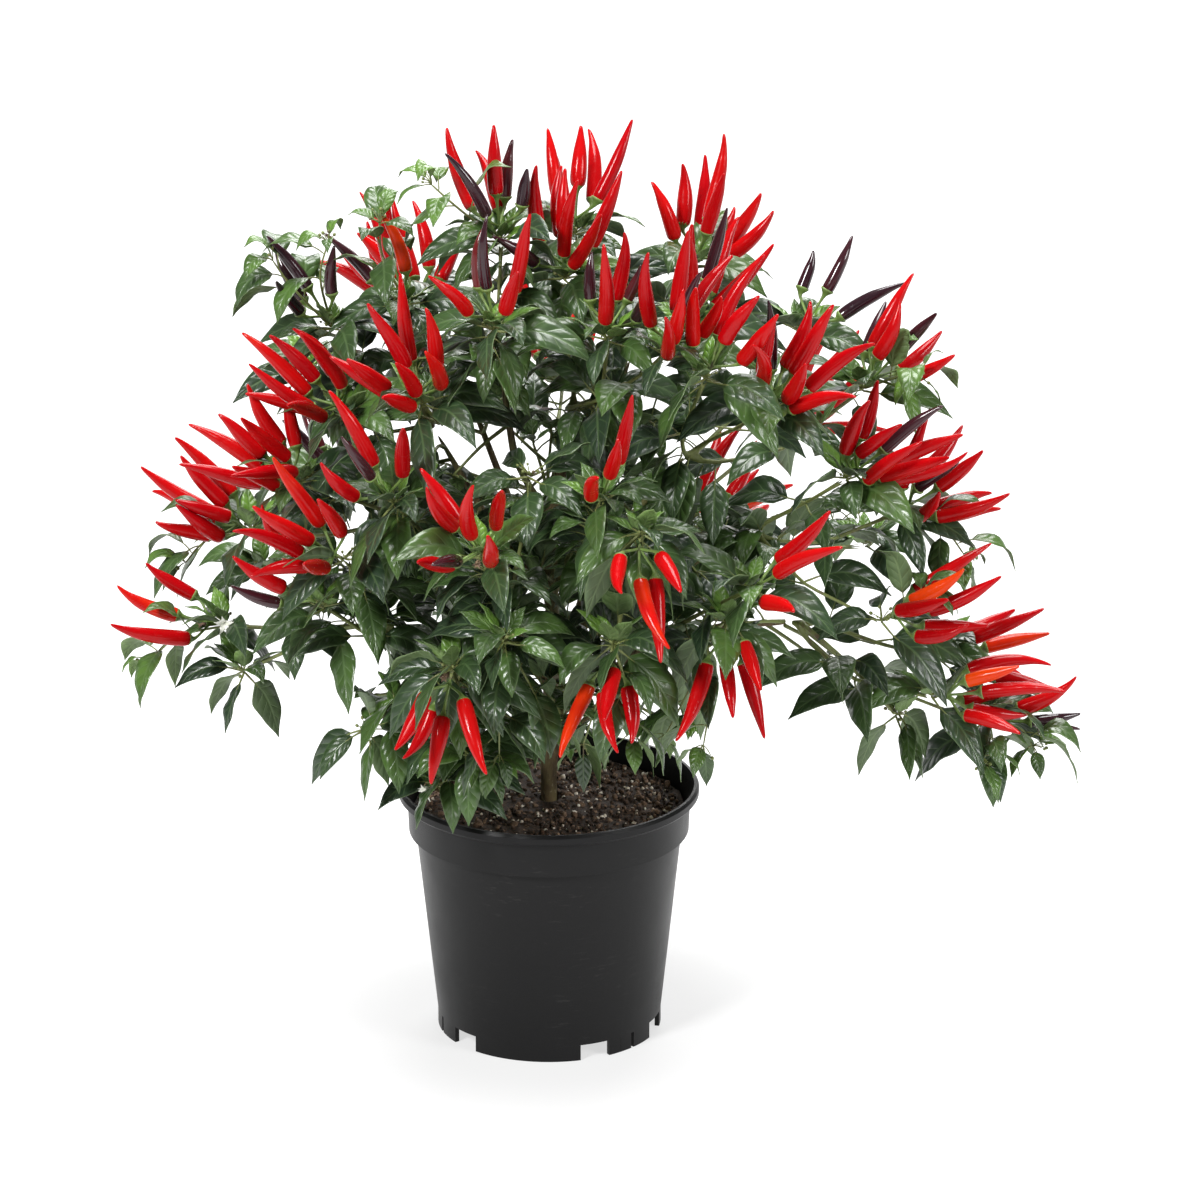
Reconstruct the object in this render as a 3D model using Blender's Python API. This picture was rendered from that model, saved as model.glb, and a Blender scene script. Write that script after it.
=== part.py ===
"""A potted ornamental chilli pepper plant: a black nursery pot with potting soil, one branching
stem, leafy shoots at the ends of its limbs, and a cluster of pointed fruits at most shoot tips.

Metres, +Z up. The pot's axis is the Z axis and the pot stands on z = 0; the front is -Y."""

import math

import bmesh
import bpy
from mathutils import Matrix, Quaternion, Vector
from mathutils.bvhtree import BVHTree

UP = Vector((0, 0, 1))
HEART = Vector((0, 0, 0.34))  # what fruits and shoot tips lean away from
GOLDEN = math.radians(137.5)
SEAT = 0.0003  # gap between pieces that touch
CLEARANCE = 0.0009  # room kept round a growing leaf or fruit

# The pot: a 5 litre nursery pot, 223 mm across its lip and 190 mm tall
POT_HEIGHT = 0.1896
LIP_RADIUS = 0.1117
LIP_INNER_RADIUS = 0.1072
LIP_HEIGHT = 0.009
BAND_TOP_RADIUS = 0.1052
BAND_BOTTOM_RADIUS = 0.1042
BAND_HEIGHT = 0.0256
WALL_TOP_RADIUS = 0.0990
BASE_RADIUS = 0.0837
WALL = 0.0015
FOOT_HEIGHT = 0.012
FOOT_WIDTH = 0.0034
FOOT_DRAFT = 0.0006
PAD_RADIUS = 0.047
FLOOR = 0.004  # thickness of the pot's floor plate
# One third of the foot, in degrees: (width, steps, stands on the ground)
FOOT_PATTERN = [
    (57, 6, True),
    (16, 2, False),
    (14.5, 2, True),
    (2, 1, False),
    (14.5, 2, True),
    (16, 2, False),
]
FOOT_START = -130.5  # where the first wide block starts, so that it is left of the front

# The soil and the root collar's pit in it
SOIL_BELOW_LIP = 0.0145
SOIL_SIDES = 24
MOUND = 0.003
PIT_RADIUS = 0.0078
PIT_DEPTH = 0.026

# The stem: each limb grows from a knot of another and has a route of its own
KNOT = 0.0085
TRUNK_RADIUS = (0.0065, 0.0042)
LIMB_RADIUS = (0.0036, 0.0026)
TRUNK = [(0, 0, 0.220), (0.002, -0.002, 0.247), (0.001, 0.002, 0.274), (0.004, 0.003, 0.304),
         (0.001, 0.008, 0.345), (0.004, 0.010, 0.400), (0.016, 0.004, 0.470)]
LIMBS = {
    "low_left": (0, [(-0.050, -0.022, 0.262), (-0.112, -0.045, 0.325)]),
    "low_right": (0, [(0.062, -0.010, 0.282), (0.122, -0.020, 0.318), (0.178, -0.020, 0.322)]),
    "front_low_left": (1, [(-0.025, -0.050, 0.275), (-0.056, -0.100, 0.296)]),
    "front_right": (1, [(0.042, -0.042, 0.290), (0.078, -0.080, 0.330)]),
    "back_left": (1, [(-0.045, 0.045, 0.295), (-0.090, 0.095, 0.350)]),
    "front_mid": (2, [(-0.014, -0.050, 0.315), (-0.027, -0.098, 0.355)]),
    "back_right": (2, [(0.050, 0.050, 0.310), (0.100, 0.100, 0.365)]),
    "mid_left": (2, [(-0.052, -0.008, 0.330), (-0.102, -0.020, 0.395)]),
    "mid_right": (3, [(0.070, 0.000, 0.340), (0.146, 0.000, 0.385)]),
    "front": (3, [(0.022, -0.042, 0.340), (0.028, -0.085, 0.385)]),
    "back_mid": (3, [(0.000, 0.062, 0.350), (0.005, 0.115, 0.415)]),
    "upper_left": (4, [(-0.042, 0.000, 0.392), (-0.083, 0.000, 0.465)]),
    "upper_right": (4, [(0.052, 0.002, 0.388), (0.100, -0.015, 0.446)]),
    "back_high_left": (4, [(-0.032, 0.055, 0.400), (-0.062, 0.090, 0.470)]),
    "crown_left": (5, [(-0.024, -0.015, 0.450), (-0.034, -0.020, 0.520)]),
    "back_high_right": (5, [(0.034, 0.045, 0.440), (0.062, 0.085, 0.495)]),
    "crown_mid": (6, []),
}

# Each shoot's tips: (place, fruits, 1 where they stand up or -1 where they hang)
TIPS = {
    "crown_left": [((-0.034, -0.020, 0.620), 6, 1), ((-0.038, -0.095, 0.575), 5, 1)],
    "crown_mid": [((0.012, -0.010, 0.590), 7, 1), ((0.045, -0.085, 0.565), 5, 1),
                  ((0.088, -0.105, 0.560), 7, 1), ((0.106, 0.035, 0.540), 6, 1)],
    "upper_left": [((-0.105, 0.025, 0.560), 4, 1), ((-0.090, -0.095, 0.520), 8, 1),
                   ((-0.150, -0.030, 0.490), 7, 1), ((-0.160, 0.020, 0.542), 4, 1)],
    "upper_right": [((0.116, -0.115, 0.545), 4, 1), ((0.162, -0.090, 0.515), 8, 1),
                    ((0.190, 0.055, 0.530), 3, 1), ((0.235, 0.000, 0.502), 6, 1)],
    "mid_left": [((-0.185, -0.035, 0.440), 9, 1), ((-0.228, 0.050, 0.374), 7, 1),
                 ((-0.112, -0.130, 0.455), 4, 1)],
    "mid_right": [((0.222, -0.050, 0.448), 8, 1), ((0.262, 0.000, 0.405), 8, 1),
                  ((0.252, -0.045, 0.335), 6, 1)],
    "low_left": [((-0.245, -0.020, 0.322), 3, 1), ((-0.150, -0.120, 0.408), 6, 1),
                 ((-0.168, -0.085, 0.360), 3, 1), ((-0.225, -0.030, 0.285), 0, -1)],
    "low_right": [((0.298, 0.030, 0.280), 5, 1), ((0.290, -0.045, 0.275), 6, 1),
                  ((0.330, 0.000, 0.238), 3, 1), ((0.258, -0.020, 0.248), 0, -1)],
    "front_low_left": [((-0.068, -0.185, 0.336), 4, -1), ((-0.132, -0.105, 0.268), 0, -1),
                       ((-0.078, -0.098, 0.224), 0, 1)],
    "front_mid": [((-0.046, -0.195, 0.436), 7, 1), ((-0.030, -0.195, 0.370), 0, 1),
                  ((-0.012, -0.125, 0.470), 0, 1)],
    "front": [((0.040, -0.160, 0.466), 3, 1), ((0.068, -0.195, 0.440), 4, -1),
              ((0.048, -0.180, 0.352), 4, -1)],
    "front_right": [((0.148, -0.165, 0.400), 3, 1), ((0.130, -0.150, 0.360), 4, -1)],
    "back_right": [((0.180, 0.165, 0.420), 8, 1), ((0.120, 0.190, 0.330), 7, 1),
                   ((0.240, 0.110, 0.340), 0, 1)],
    "back_left": [((-0.160, 0.165, 0.375), 8, 1), ((-0.090, 0.200, 0.320), 0, -1),
                  ((-0.215, 0.110, 0.320), 0, 1)],
    "back_mid": [((0.010, 0.220, 0.440), 8, 1), ((0.070, 0.190, 0.500), 0, 1)],
    "back_high_left": [((-0.100, 0.150, 0.520), 8, 1), ((-0.175, 0.100, 0.480), 0, 1)],
    "back_high_right": [((0.110, 0.125, 0.560), 8, 1), ((0.020, 0.110, 0.590), 5, 1)],
}
DARK = ("upper_left_d", "upper_right_c", "low_right_c", "back_left_a")  # clusters still unripe
TWIG_RADIUS = (0.0023, 0.0016)
TWIG_KNOT = 0.006
TWIG_END = 0.003  # the twig runs on this far above its last knot

# Leaves and fruits
PETIOLE = 0.013
PETIOLE_RADIUS = 0.0009
LEAF_LENGTHS = (0.058, 0.047, 0.066, 0.052)
LEAF_SLENDERNESS = 0.21  # half width over length
LEAF_THICKNESS = 0.0009
LEAF_FOLD = 0.22  # how far a blade's edges rise, over its half width
# Where a leaf may turn to find room, in degrees round and up
LEAF_TURNS = [(0, 0), (25, 0), (-25, 0), (0, 30), (0, -35), (45, 20), (-45, 20), (45, -35), (-45, -35)]
TIP_LEAVES = 4
LOW_LEAVES = 2
SET_BACK = 0.007  # a twig with fruits ends this far short of its place
PEDICEL = 0.0205
PEDICEL_RADIUS = 0.0012
FRUIT_LENGTHS = (0.060, 0.050, 0.065, 0.044)
FRUIT_RADIUS = 0.0065
HUB_RADIUS = 0.0027

# Kept clear over the soil at the front right, where water is poured in
WATERING = ((0.030, -0.085, 0.182), (0.070, -0.050, 0.240))

COLOURS = {  # base colour and roughness
    "pot": ((0.018, 0.018, 0.019), 0.45),
    "soil": ((0.035, 0.022, 0.014), 0.95),
    "bark": ((0.16, 0.15, 0.07), 0.7),
    "leaf": ((0.045, 0.11, 0.03), 0.5),
    "fruit_red": ((0.62, 0.02, 0.01), 0.2),
    "fruit_dark": ((0.03, 0.012, 0.018), 0.2),
}


# Solids grown by extruding one face through ring after ring


def ring(centre, along, side, half_width, half_height, sides=4, fold=0.0):
    """Points round a centre; `fold` lifts the two outer ones, as a leaf's halves are lifted."""
    up = along.cross(side)
    points = []
    for i in range(sides):
        turn = 2 * math.pi * i / sides
        out = half_width * math.cos(turn)
        points.append(centre + side * out + up * (half_height * math.sin(turn) + fold * abs(out)))
    return points


def square_to(along, side):
    """`side` made perpendicular to `along`, or any such direction if they are parallel."""
    flat = side - along * side.dot(along)
    return flat.normalized() if flat.length > 0.05 else along.orthogonal().normalized()


def sprout(bm, first, second):
    """Starts a solid with two rings of points and returns its far face."""
    sides = len(first)
    bmesh.ops.create_cone(bm, cap_ends=True, segments=sides, radius1=1, radius2=1, depth=2)
    bm.faces.ensure_lookup_table()
    top = max(bm.faces, key=lambda face: face.calc_center_median().z)
    verts = [loop.vert for loop in top.loops]
    lower = [next(e.other_vert(v) for e in v.link_edges if e.other_vert(v) not in verts) for v in verts]
    for vert, under, a, b in zip(verts, lower, second, first):
        vert.co, under.co = a, b
    return top


def grow(bm, face, rings, tip=None):
    """Extrudes a face through rings of as many points, ends at a tip if there is one, and returns the
    last face."""
    turn = None
    for points in rings:
        face = bmesh.ops.extrude_discrete_faces(bm, faces=[face])["faces"][0]
        verts = [loop.vert for loop in face.loops]
        count = len(verts)
        if turn is None:
            turn = min(
                range(count),
                key=lambda k: sum((v.co - points[(i + k) % count]).length for i, v in enumerate(verts)),
            )
        for i, vert in enumerate(verts):
            vert.co = points[(i + turn) % count]
    if tip is not None:
        bmesh.ops.poke(bm, faces=[face])["verts"][0].co = tip
    return face


def around(face):
    """The faces at a face's edges: after a knot is grown, its four or six sides."""
    return {other for edge in face.edges for other in edge.link_faces} - {face}


def take(faces, toward):
    """Removes and returns the face that looks most in a direction."""
    for face in faces:
        face.normal_update()
    best = max(faces, key=lambda face: face.normal.dot(toward))
    faces.remove(best)
    return best


# Room: what has grown so far, and whether something more fits beside it

GROWN = []


def shell(rings, tip=None, start=None):
    """A test mesh of rings. From a start, it leaves out only the first fifth of the way to the first
    ring, which lies in what it grows from."""
    sides = len(rings[0])
    if start is not None:
        middle = sum(rings[0], Vector()) / sides
        rings = [[p + (start - middle) * 0.8 for p in rings[0]]] + rings
    points = [p for points in rings for p in points]
    faces = []
    for first in range(0, len(points) - sides, sides):
        for i in range(sides):
            a, b = first + i, first + (i + 1) % sides
            faces.append((a, b, b + sides, a + sides))
    if tip is not None:
        last = len(points) - sides
        points.append(tip)
        faces += [(last + i, last + (i + 1) % sides, len(points) - 1) for i in range(sides)]
    middle = sum(points, Vector()) / len(points)
    reach = max((p - middle).length for p in points)
    return BVHTree.FromPolygons(points, faces), middle, reach, min(p.z for p in points)


def keep(tree, middle, reach, low=None):
    GROWN.append((tree, middle, reach))


def fits(tree, middle, reach, low):
    if low < 0.006:
        return False
    return not any(
        (middle - other_middle).length < reach + other_reach and tree.overlap(other)
        for other, other_middle, other_reach in GROWN
    )


def keep_mesh(bm):
    middle = sum((v.co for v in bm.verts), Vector()) / len(bm.verts)
    keep(BVHTree.FromBMesh(bm), middle, max((v.co - middle).length for v in bm.verts))


# Objects and materials


def material(name):
    mat = bpy.data.materials.new(name)
    mat.use_nodes = True
    colour, roughness = COLOURS[name]
    shader = mat.node_tree.nodes["Principled BSDF"]
    shader.inputs["Base Color"].default_value = (*colour, 1)
    shader.inputs["Roughness"].default_value = roughness
    return mat


def add_object(name, bm, mat, sharp=40):
    mesh = bpy.data.meshes.new(name)
    bm.to_mesh(mesh)
    bm.free()
    mesh.shade_smooth()
    mesh.set_sharp_from_angle(angle=math.radians(sharp))
    mesh.materials.append(mat)
    obj = bpy.data.objects.new(name, mesh)
    bpy.context.scene.collection.objects.link(obj)
    return obj


# The pot and the soil


def foot_steps():
    """The angle of each step round the foot, and whether the foot stands there."""
    angle, steps = FOOT_START, []
    for width, count, stands in FOOT_PATTERN * 3:
        for i in range(count):
            steps.append((math.radians(angle + width * i / count), stands))
        angle += width
    return steps


def circle_at(angles, radius, z):
    return [Vector((radius * math.cos(a), radius * math.sin(a), z)) for a in angles]


def pot():
    """Turned rings from the pad under the floor, out and up the outside, and down the inside."""
    band_top = POT_HEIGHT - LIP_HEIGHT
    band_bottom = band_top - BAND_HEIGHT
    steps = foot_steps()
    angles = [angle for angle, _ in steps]
    profile = [
        (PAD_RADIUS, 0),
        (PAD_RADIUS + 0.001, FOOT_HEIGHT),
        (BASE_RADIUS - FOOT_WIDTH, FOOT_HEIGHT + 0.0001),
        (BASE_RADIUS, FOOT_HEIGHT),
        (WALL_TOP_RADIUS, band_bottom - 0.0006),
        (BAND_BOTTOM_RADIUS, band_bottom),
        (BAND_TOP_RADIUS, band_top),
        (LIP_RADIUS - 0.002, band_top + 0.0004),
        (LIP_RADIUS, band_top + 0.0025),
        (LIP_RADIUS, POT_HEIGHT - 0.0022),
        (LIP_RADIUS - 0.0016, POT_HEIGHT),
        (LIP_INNER_RADIUS + 0.0008, POT_HEIGHT),
        (LIP_INNER_RADIUS, POT_HEIGHT - 0.0014),
        (BAND_TOP_RADIUS - WALL, band_top - 0.001),
        (WALL_TOP_RADIUS - WALL, band_bottom - 0.001),
        (BASE_RADIUS - WALL, FOOT_HEIGHT + FLOOR),
    ]
    bm = bmesh.new()
    rings = [circle_at(angles, radius, z) for radius, z in profile]
    top = sprout(bm, rings[0], rings[1])
    grow(bm, top, rings[2:])
    foot_middle = BASE_RADIUS - FOOT_WIDTH / 2
    standing = []
    for (a, stands), (b, _) in zip(steps, steps[1:] + steps[:1]):
        if stands:
            centre = sum(circle_at([a, b], foot_middle, FOOT_HEIGHT), Vector()) / 2
            nearest = min(bm.faces, key=lambda face: (face.calc_center_median() - centre).length)
            standing.append(nearest)
    grown = bmesh.ops.extrude_face_region(bm, geom=standing)["geom"]
    bmesh.ops.delete(bm, geom=[face for face in standing if face.is_valid], context="FACES_ONLY")
    for vert in (item for item in grown if isinstance(item, bmesh.types.BMVert)):
        radius = math.hypot(vert.co.x, vert.co.y)
        scale = (radius - FOOT_DRAFT * (radius > foot_middle)) / radius
        vert.co = (vert.co.x * scale, vert.co.y * scale, 0)
    keep_mesh(bm)
    add_object("pot", bm, material("pot"), sharp=25)


def soil():
    """The root ball's outside, a lumpy top with a low mound, and the pit that the root collar fills."""
    top = POT_HEIGHT - SOIL_BELOW_LIP
    band_bottom = POT_HEIGHT - LIP_HEIGHT - BAND_HEIGHT
    room = WALL + 0.0007
    angles = [2 * math.pi * i / SOIL_SIDES for i in range(SOIL_SIDES)]
    profile = [
        (BASE_RADIUS - room, FOOT_HEIGHT + FLOOR + SEAT),
        (WALL_TOP_RADIUS - room, band_bottom - 0.001),
        (BAND_TOP_RADIUS - 0.0045, top - 0.002),
        (0.082, top),
        (0.058, top + 0.2 * MOUND),
        (0.032, top + 0.6 * MOUND),
        (PIT_RADIUS + 0.003, top + MOUND),
        (PIT_RADIUS, top + MOUND - 0.001),
        (PIT_RADIUS - 0.0004, top + MOUND - PIT_DEPTH),
    ]
    rings = [circle_at(angles, radius, z) for radius, z in profile]
    for points, lift in zip(rings[3:6], (0.0009, 0.0013, 0.001)):
        for i, point in enumerate(points):
            point.z += lift * math.sin(5 * angles[i] + 70 * point.x) * math.cos(3 * angles[i])
    bm = bmesh.new()
    face = sprout(bm, rings[0], rings[1])
    grow(bm, face, rings[2:])
    keep_mesh(bm)
    add_object("potting_soil", bm, material("soil"), sharp=60)
    return Vector((0, 0, profile[-1][1] + SEAT))


# The stem


def knot_rings(centre, along, side, radius, length, sides=4):
    return [
        ring(centre + along * (length * end), along, side, radius, radius, sides)
        for end in (-0.5, 0.5)
    ]


def stem(root):
    """The trunk with a knot where each group of limbs leaves, and the limbs out of the knots' sides.
    Returns where each limb ends, and its direction there."""
    bm = bmesh.new()
    route = [root] + [Vector(p) for p in TRUNK]
    side = Vector((1, 0, 0))
    collar = [
        ring(root + UP * z, UP, side, radius, radius, 6)
        for z, radius in ((0, 0.0062), (PIT_DEPTH + 0.004, TRUNK_RADIUS[0]))
    ]
    face = sprout(bm, *collar)
    keep(*shell(collar))
    knots, ends = [], {}
    for i in range(1, len(route)):
        along = (route[min(i + 1, len(route) - 1)] - route[i - 1]).normalized()
        side = square_to(along, side)
        share = i / (len(route) - 1)
        radius = TRUNK_RADIUS[0] + (TRUNK_RADIUS[1] - TRUNK_RADIUS[0]) * share
        before, after = knot_rings(route[i], along, side, radius, KNOT, 6)
        keep(*shell([ring(route[i - 1], along, side, radius, radius, 6), before, after]))
        face = grow(bm, face, [before])
        face = grow(bm, face, [after])
        knots.append(around(face))
    ends["crown_mid"] = (route[-1] + along * (KNOT / 2), along, side)
    for name, (knot, points) in LIMBS.items():
        if points:
            ends[name] = limb(bm, take(knots[knot], Vector(points[0]) - route[knot + 1]), points)
    add_object("stem", bm, material("bark"), sharp=60)
    return ends


def limb(bm, face, points):
    """A limb from a knot's side through its own points, with a swollen node at each one inside."""
    start = face.calc_center_median()
    route = [start + face.normal * 0.006 + (Vector(points[0]) - start).normalized() * 0.004]
    route += [Vector(p) for p in points]
    side = square_to(face.normal, face.verts[0].co - start)
    rings = []
    for i, point in enumerate(route):
        ahead = route[min(i + 1, len(route) - 1)]
        behind = route[i - 1] if i else start
        along = (ahead - behind).normalized()
        side = square_to(along, side)
        share = i / (len(route) - 1)
        radius = LIMB_RADIUS[0] + (LIMB_RADIUS[1] - LIMB_RADIUS[0]) * share
        if 0 < i < len(route) - 1:
            rings.append(ring(point - along * 0.008, along, side, radius, radius))
            rings.append(ring(point, along, side, radius * 1.35, radius * 1.35))
            rings.append(ring(point + along * 0.008, along, side, radius, radius))
        else:
            rings.append(ring(point, along, side, radius, radius))
    keep(*shell(rings))
    grow(bm, face, rings)
    return route[-1], along, side


# Leafy shoots


def curve(start, leave, arrive, end, t):
    """A cubic Bezier point."""
    u = 1 - t
    return start * u**3 + leave * (3 * u * u * t) + arrive * (3 * u * t * t) + end * t**3


def outward(place):
    """The level direction away from the pot's axis."""
    flat = Vector((place.x, place.y, 0))
    return flat.normalized() if flat.length > 0.01 else Vector((0, -1, 0))


def twig_rings(start, normal, place, lean, bow, spare):
    """Rings of a twig from a side face to a tip: one free ring, a knot half way, and a last knot under
    the tip."""
    reach = (place - start).length
    leave = start + normal * 0.3 * reach + bow
    arrive = place - lean * 0.3 * reach + bow
    side = square_to(normal, UP)
    rings = []
    for t, length in ((0.12, 0), (0.52, TWIG_KNOT), (0.98, TWIG_KNOT)):
        centre = curve(start, leave, arrive, place, t)
        ahead = curve(start, leave, arrive, place, t + 0.02)
        along = (ahead - centre).normalized()
        side = square_to(along, side)
        radius = TWIG_RADIUS[0] + (TWIG_RADIUS[1] - TWIG_RADIUS[0]) * t + spare
        if length:
            rings += knot_rings(centre, along, side, radius, length)
        else:
            rings.append(ring(centre, along, side, radius, radius))
    end = centre + along * (TWIG_KNOT / 2 + TWIG_END)
    rings.append(ring(end, along, side, radius * 0.9, radius * 0.9))
    return rings, along


BOWS = [Vector()] + [
    Vector((math.cos(a), math.sin(a), lift)) * size
    for size in (0.012, 0.024, 0.04)
    for lift in (0, -0.8, 0.8)
    for a in (0, math.pi / 2, math.pi, -math.pi / 2)
]


def shoot(name, base, along, side):
    """A short foot over the limb's end and one twig to each tip. Returns the faces at each twig's
    knots, and the tips."""
    bm = bmesh.new()
    radius = TWIG_RADIUS[0] * 1.15
    foot = base + along * SEAT
    low, mid, high = (
        ring(foot + along * d, along, side, radius, radius) for d in (0, 0.003, 0.003 + TWIG_KNOT)
    )
    face = sprout(bm, low, mid)
    keep(*shell([low, mid, high]))
    crown = grow(bm, face, [high])
    sides = around(crown) | {crown}
    fork = crown.calc_center_median()
    tips = []
    for place, fruits, stand in TIPS[name]:
        place = Vector(place)
        lean = ((place - HEART).normalized() + UP * (0.35 if stand > 0 else -1.3)).normalized()
        if fruits:
            place -= lean * SET_BACK
        face = take(sides, place - fork)
        start, normal = face.calc_center_median(), face.normal.copy()
        for bow in BOWS:
            rings, _ = twig_rings(start, normal, place, lean, bow, CLEARANCE)
            if fits(*shell(rings, start=start)):
                break
        else:
            print("no room for a twig of", name, tuple(place))
        rings, end_along = twig_rings(start, normal, place, lean, bow, 0)
        keep(*shell(rings, start=start))
        knots = []
        for i, points in enumerate(rings):
            face = grow(bm, face, [points])
            if i in (2, 4):
                knots.append(around(face))
        tips.append((sum(rings[-1], Vector()) / 4, end_along, fruits, stand, knots, lean))
    return bm, tips


def leaf_rings(start, normal, heading, length, spare):
    """A stalk, then a blade that widens, narrows to a drawn-out tip and droops."""
    side = UP.cross(heading).normalized()
    neck = start + (normal + heading * 1.6).normalized() * PETIOLE * (0.6 + 6 * length)
    width = length * LEAF_SLENDERNESS
    rings = [ring(neck, heading, side, PETIOLE_RADIUS + spare, PETIOLE_RADIUS + spare)]
    point = neck
    for step, share, droop in ((0.33, 1.0, 0.1), (0.35, 0.72, 0.4)):
        heading = (heading - UP * droop).normalized()
        point = point + heading * (length * step)
        half_height = LEAF_THICKNESS / 2 * (1 + share) + spare
        rings.append(ring(point, heading, side, width * share + spare, half_height, fold=LEAF_FOLD))
    heading = (heading - UP * 0.3).normalized()
    return rings, point + heading * (length * 0.32 + spare)


def add_leaf(bm, faces, heading, length):
    """Grows a leaf from the best face, turned a little until it has room."""
    face = take(faces, heading)
    start, normal = face.calc_center_median(), face.normal.copy()
    for turn, tilt in LEAF_TURNS:
        way = Quaternion(UP, math.radians(turn)) @ heading
        way = (way + UP * math.tan(math.radians(tilt))).normalized()
        outline = leaf_rings(start, normal, way, length, CLEARANCE)
        if way.dot(normal) > 0.05 and fits(*shell(*outline, start)):
            rings, tip = leaf_rings(start, normal, way, length, 0)
            keep(*shell(rings, tip, start))
            grow(bm, face, rings, tip)
            return
    faces.add(face)


def leaves(bm, tips, number):
    """A whorl under each tip and a pair lower down each twig."""
    for place, _, fruits, stand, (low_knot, tip_knot), _ in tips:
        number += 1
        away = outward(place)
        for i in range(TIP_LEAVES):
            heading = Quaternion(UP, number + GOLDEN * i) @ away
            rise = 0.15 if stand > 0 else -0.9
            heading = (heading + away * 0.35 + UP * rise).normalized()
            length = LEAF_LENGTHS[(i + number) % 4] * (1 if fruits else 0.85)
            add_leaf(bm, tip_knot, heading, length)
        for i in range(LOW_LEAVES):
            heading = (Quaternion(UP, 1.9 * number + GOLDEN * i) @ away + UP * 0.1).normalized()
            add_leaf(bm, low_knot, heading, LEAF_LENGTHS[(number + i) % 4])
    return number


# Fruits


def fruit_rings(start, normal, heading, length, spare):
    """A stalk, a blunt shoulder and a long pointed body."""
    side = square_to(heading, UP.cross(heading))
    shoulder = start + (normal + heading * 1.1).normalized() * PEDICEL
    rings = []
    for step, radius in ((0, PEDICEL_RADIUS), (0.08, FRUIT_RADIUS), (0.6, FRUIT_RADIUS * 0.8)):
        centre = shoulder + heading * length * step
        rings.append(ring(centre, heading, side, radius + spare, radius + spare))
    return rings, shoulder + heading * (length + spare) + UP * 0.002


def cluster(key, place, along, fruits, lean, number):
    """A hub over the twig's tip with fruits fanned out from it."""
    bm = bmesh.new()
    side = square_to(along, UP)
    foot = place + along * SEAT
    levels = [
        ring(foot + along * d, along, side, radius, radius)
        for d, radius in ((0, TWIG_RADIUS[1] * 0.8), (0.004, HUB_RADIUS), (0.008, HUB_RADIUS))
    ]
    face = sprout(bm, levels[0], levels[1])
    keep(*shell(levels))
    sides = around(face)
    face = grow(bm, face, [levels[2]])
    sides |= around(face) | {face}
    axis = (lean + along).normalized()
    placed = 0
    for i in range(fruits * 5):
        if placed == fruits or not sides:
            break
        widened = 8 * (i // fruits)  # each time round the fan opens a little
        spread = math.radians(10 + 20 * ((i * 0.618) % 1) + widened) * (1 if i else 0.4)
        across = Quaternion(axis, number + GOLDEN * i) @ square_to(axis, UP)
        heading = (axis * math.cos(spread) + across * math.sin(spread)).normalized()
        face = take(sides, heading)
        start, normal = face.calc_center_median(), face.normal.copy()
        length = FRUIT_LENGTHS[(i + number) % 4]
        outline = fruit_rings(start, normal, heading, length, CLEARANCE)
        if heading.dot(normal) > -0.1 and fits(*shell(*outline, start)):
            rings, tip = fruit_rings(start, normal, heading, length, 0)
            keep(*shell(rings, tip, start))
            grow(bm, face, rings, tip)
            placed += 1
        else:
            sides.add(face)
    if placed < fruits:
        print("room for only", placed, "of", fruits, "fruits in", key)
    return bm


def watering_guard():
    """The watering space as a box that nothing grows into."""
    bm = bmesh.new()
    low, high = (Vector(corner) for corner in WATERING)
    sized = Matrix.Translation((low + high) / 2) @ Matrix.Diagonal((*(high - low), 1))
    bmesh.ops.create_cube(bm, size=1, matrix=sized)
    keep_mesh(bm)
    bm.free()


def main():
    for obj in list(bpy.data.objects):
        bpy.data.objects.remove(obj)
    pot()
    root = soil()
    watering_guard()
    ends = stem(root)
    leaf_green, red, dark = material("leaf"), material("fruit_red"), material("fruit_dark")
    shoots = {name: shoot(name, *ends[name]) for name in TIPS}
    number = 0
    for name, (_, tips) in shoots.items():
        for i, (place, along, fruits, stand, _, lean) in enumerate(tips):
            number += 1
            if fruits:
                key = f"{name}_{'abcd'[i]}"
                bm = cluster(key, place, along, fruits, lean, number)
                add_object("fruits_" + key, bm, dark if key in DARK else red, sharp=80)
    number = 0
    for name, (bm, tips) in shoots.items():
        number = leaves(bm, tips, number)
        add_object(f"shoot_{name}", bm, leaf_green, sharp=80)


main()
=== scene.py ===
"""The potted chilli pepper plant's looks: fine pot, soil, stem, leaves, fruits, buds and flowers
grown on the CAD model's own twigs, with their finishes, the floor, the lights and the camera."""

import math
import random

import bmesh
import bpy
from mathutils import Matrix, Quaternion, Vector, kdtree, noise


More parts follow.
